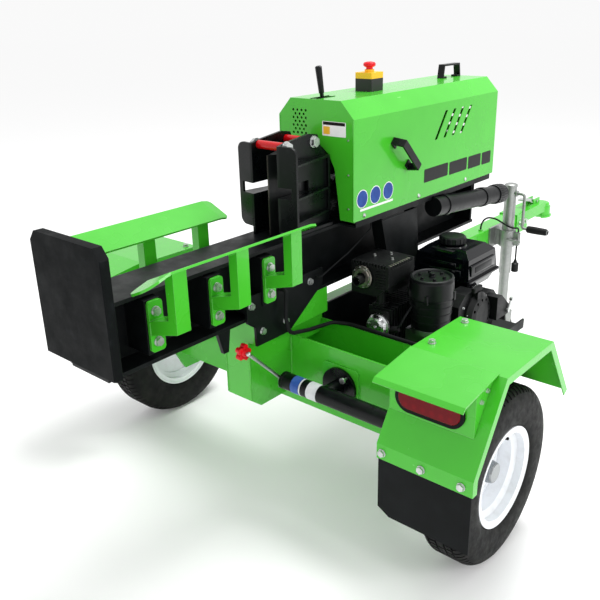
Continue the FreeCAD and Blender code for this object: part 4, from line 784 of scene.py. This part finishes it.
def tank_details():
    """Moulded panels on the fuel tank's rear and side, a plain raised badge, a neck ring and a pad."""
    for k, (x0, x1, z0, z1) in enumerate(((178, 330, 612, 634), (196, 312, 640, 656))):
        block(mm(x0, -119.5, z0), mm(x1, -114, z1), 2.4, 3)
        close_piece("tank_rear_panel_%d" % k, "frame", "tank")
    block(mm(351, -98, 614), mm(358.5, 60, 650), 3.0, 3)
    close_piece("tank_side_panel", "frame", "tank")
    block(mm(355.5, -76, 622), mm(360.0, 34, 642), 2.0, 2)
    close_piece("tank_side_badge", "frame", "abs")
    lathe([mm(-6, 44), mm(-2, 47), mm(2, 45), mm(3, 36)], mm(255, -44.5, 692), Z_AXIS, 48)
    close_piece("tank_neck_ring", "frame", "tank")
    block(mm(214, -112, 688.6), mm(296, -96, 692.0), 1.4, 2)
    close_piece("tank_top_pad", "frame", "abs")


def hood_seams():
    """Folded hems down the hood's rear corners, rivets beside them, and the lever slot's rubber lips."""
    for side, word in SIDES:
        x = side * 138.6
        block(mm(x - 2.2, -428.6, 836), mm(x + 2.2, -426.0, 1126), 0.8, 2)
        close_piece("hood_hem_" + word, "frame", "green")
        for k, z in enumerate((870, 970, 1070)):
            bolt_head("hood_rivet_%s_%d" % (word, k), (side * 122, -427.2, z), (0, -1, 0), 3.4)
    for word, x in (("left", -21), ("right", 2)):
        block(mm(x, -423, 1177.6), mm(x + 3, -338, 1179.6), 0.6)
        close_piece("slot_lip_" + word, "frame", "sleeve")


def cleaner_lid():
    """Raised rim and six bosses on the air cleaner's lid."""
    lathe([mm(-1, 66), mm(2.5, 65), mm(4, 60), mm(2, 56), mm(-1, 54)],
          Vector((CLEANER_X, CLEANER_Y, 667)) * MM, Z_AXIS, 64)
    close_piece("cleaner_lid_rim", "frame", "abs")
    for k in range(6):
        turn = radians(60 * k + 12)
        x, y = CLEANER_X + 38 * cos(turn), CLEANER_Y + 38 * sin(turn)
        bolt_head("cleaner_boss_%d" % k, (x, y, 666), Z_AXIS, 6.5, "abs")


def cleaner_ribs():
    """Raised bands round the air cleaner's bowl, which widens from 60 mm upwards."""
    for k, z in enumerate((536, 560, 584)):
        r = 60 + 6 * (z - 529) / 76
        lathe([mm(-2.5, r - 1), mm(-2, r + 1.4), mm(2, r + 1.4), mm(2.5, r - 1)],
              mm(CLEANER_X, CLEANER_Y, z), Z_AXIS, 64)
        close_piece("cleaner_rib_%d" % k, "frame", "abs")


def cap_ribs():
    """Grip ribs round the document tube's cap."""
    ribs, cap_radius, from_end = 24, 36.0 * MM, 56 * MM
    start, end = Vector((141, 16.5, 787)) * MM, Vector((141, 511.5, 738)) * MM
    along = (end - start).normalized()
    side = along.orthogonal().normalized()
    centre = end - along * from_end
    for k in range(ribs):
        turn = Matrix.Rotation(2 * pi * k / ribs, 3, along)
        middle = centre + turn @ side * cap_radius + along * 24 * MM
        open_piece()
        bpy.ops.mesh.primitive_cylinder_add(vertices=8, radius=1.8 * MM, depth=44 * MM, location=middle,
                                            rotation=along.to_track_quat("Z", "Y").to_euler())
        bpy.ops.object.mode_set(mode="EDIT")
        bpy.ops.mesh.bevel(offset=0.5 * MM, segments=1, affect="EDGES")
        close_piece("cap_rib_%02d" % k, "tube_cap", "abs")


def crank_grip():
    """Black moulded sleeve over the jack crank's handle."""
    lathe([mm(0, 6.2), mm(0, 13.5), mm(5, 14.6), mm(30, 15.2), mm(76, 14.2), mm(84, 12.0), mm(87.2, 8),
           mm(87.2, 0)], mm(180.5, 703.5, 554), X_AXIS, 32)
    close_piece("crank_grip", "jack_crank", "soft_grip")


camera()
light_lead()
studio()
floor(paper_sweep())
dress_frame()
for wheel_side, wheel_word in SIDES:
    tyre(wheel_side, wheel_word)
    valve(wheel_side, wheel_word)
stickers()
jack_band()
welds()
engine_details()
silencer_details()
tank_details()
hood_seams()
cleaner_lid()
cleaner_ribs()
cap_ribs()
crank_grip()
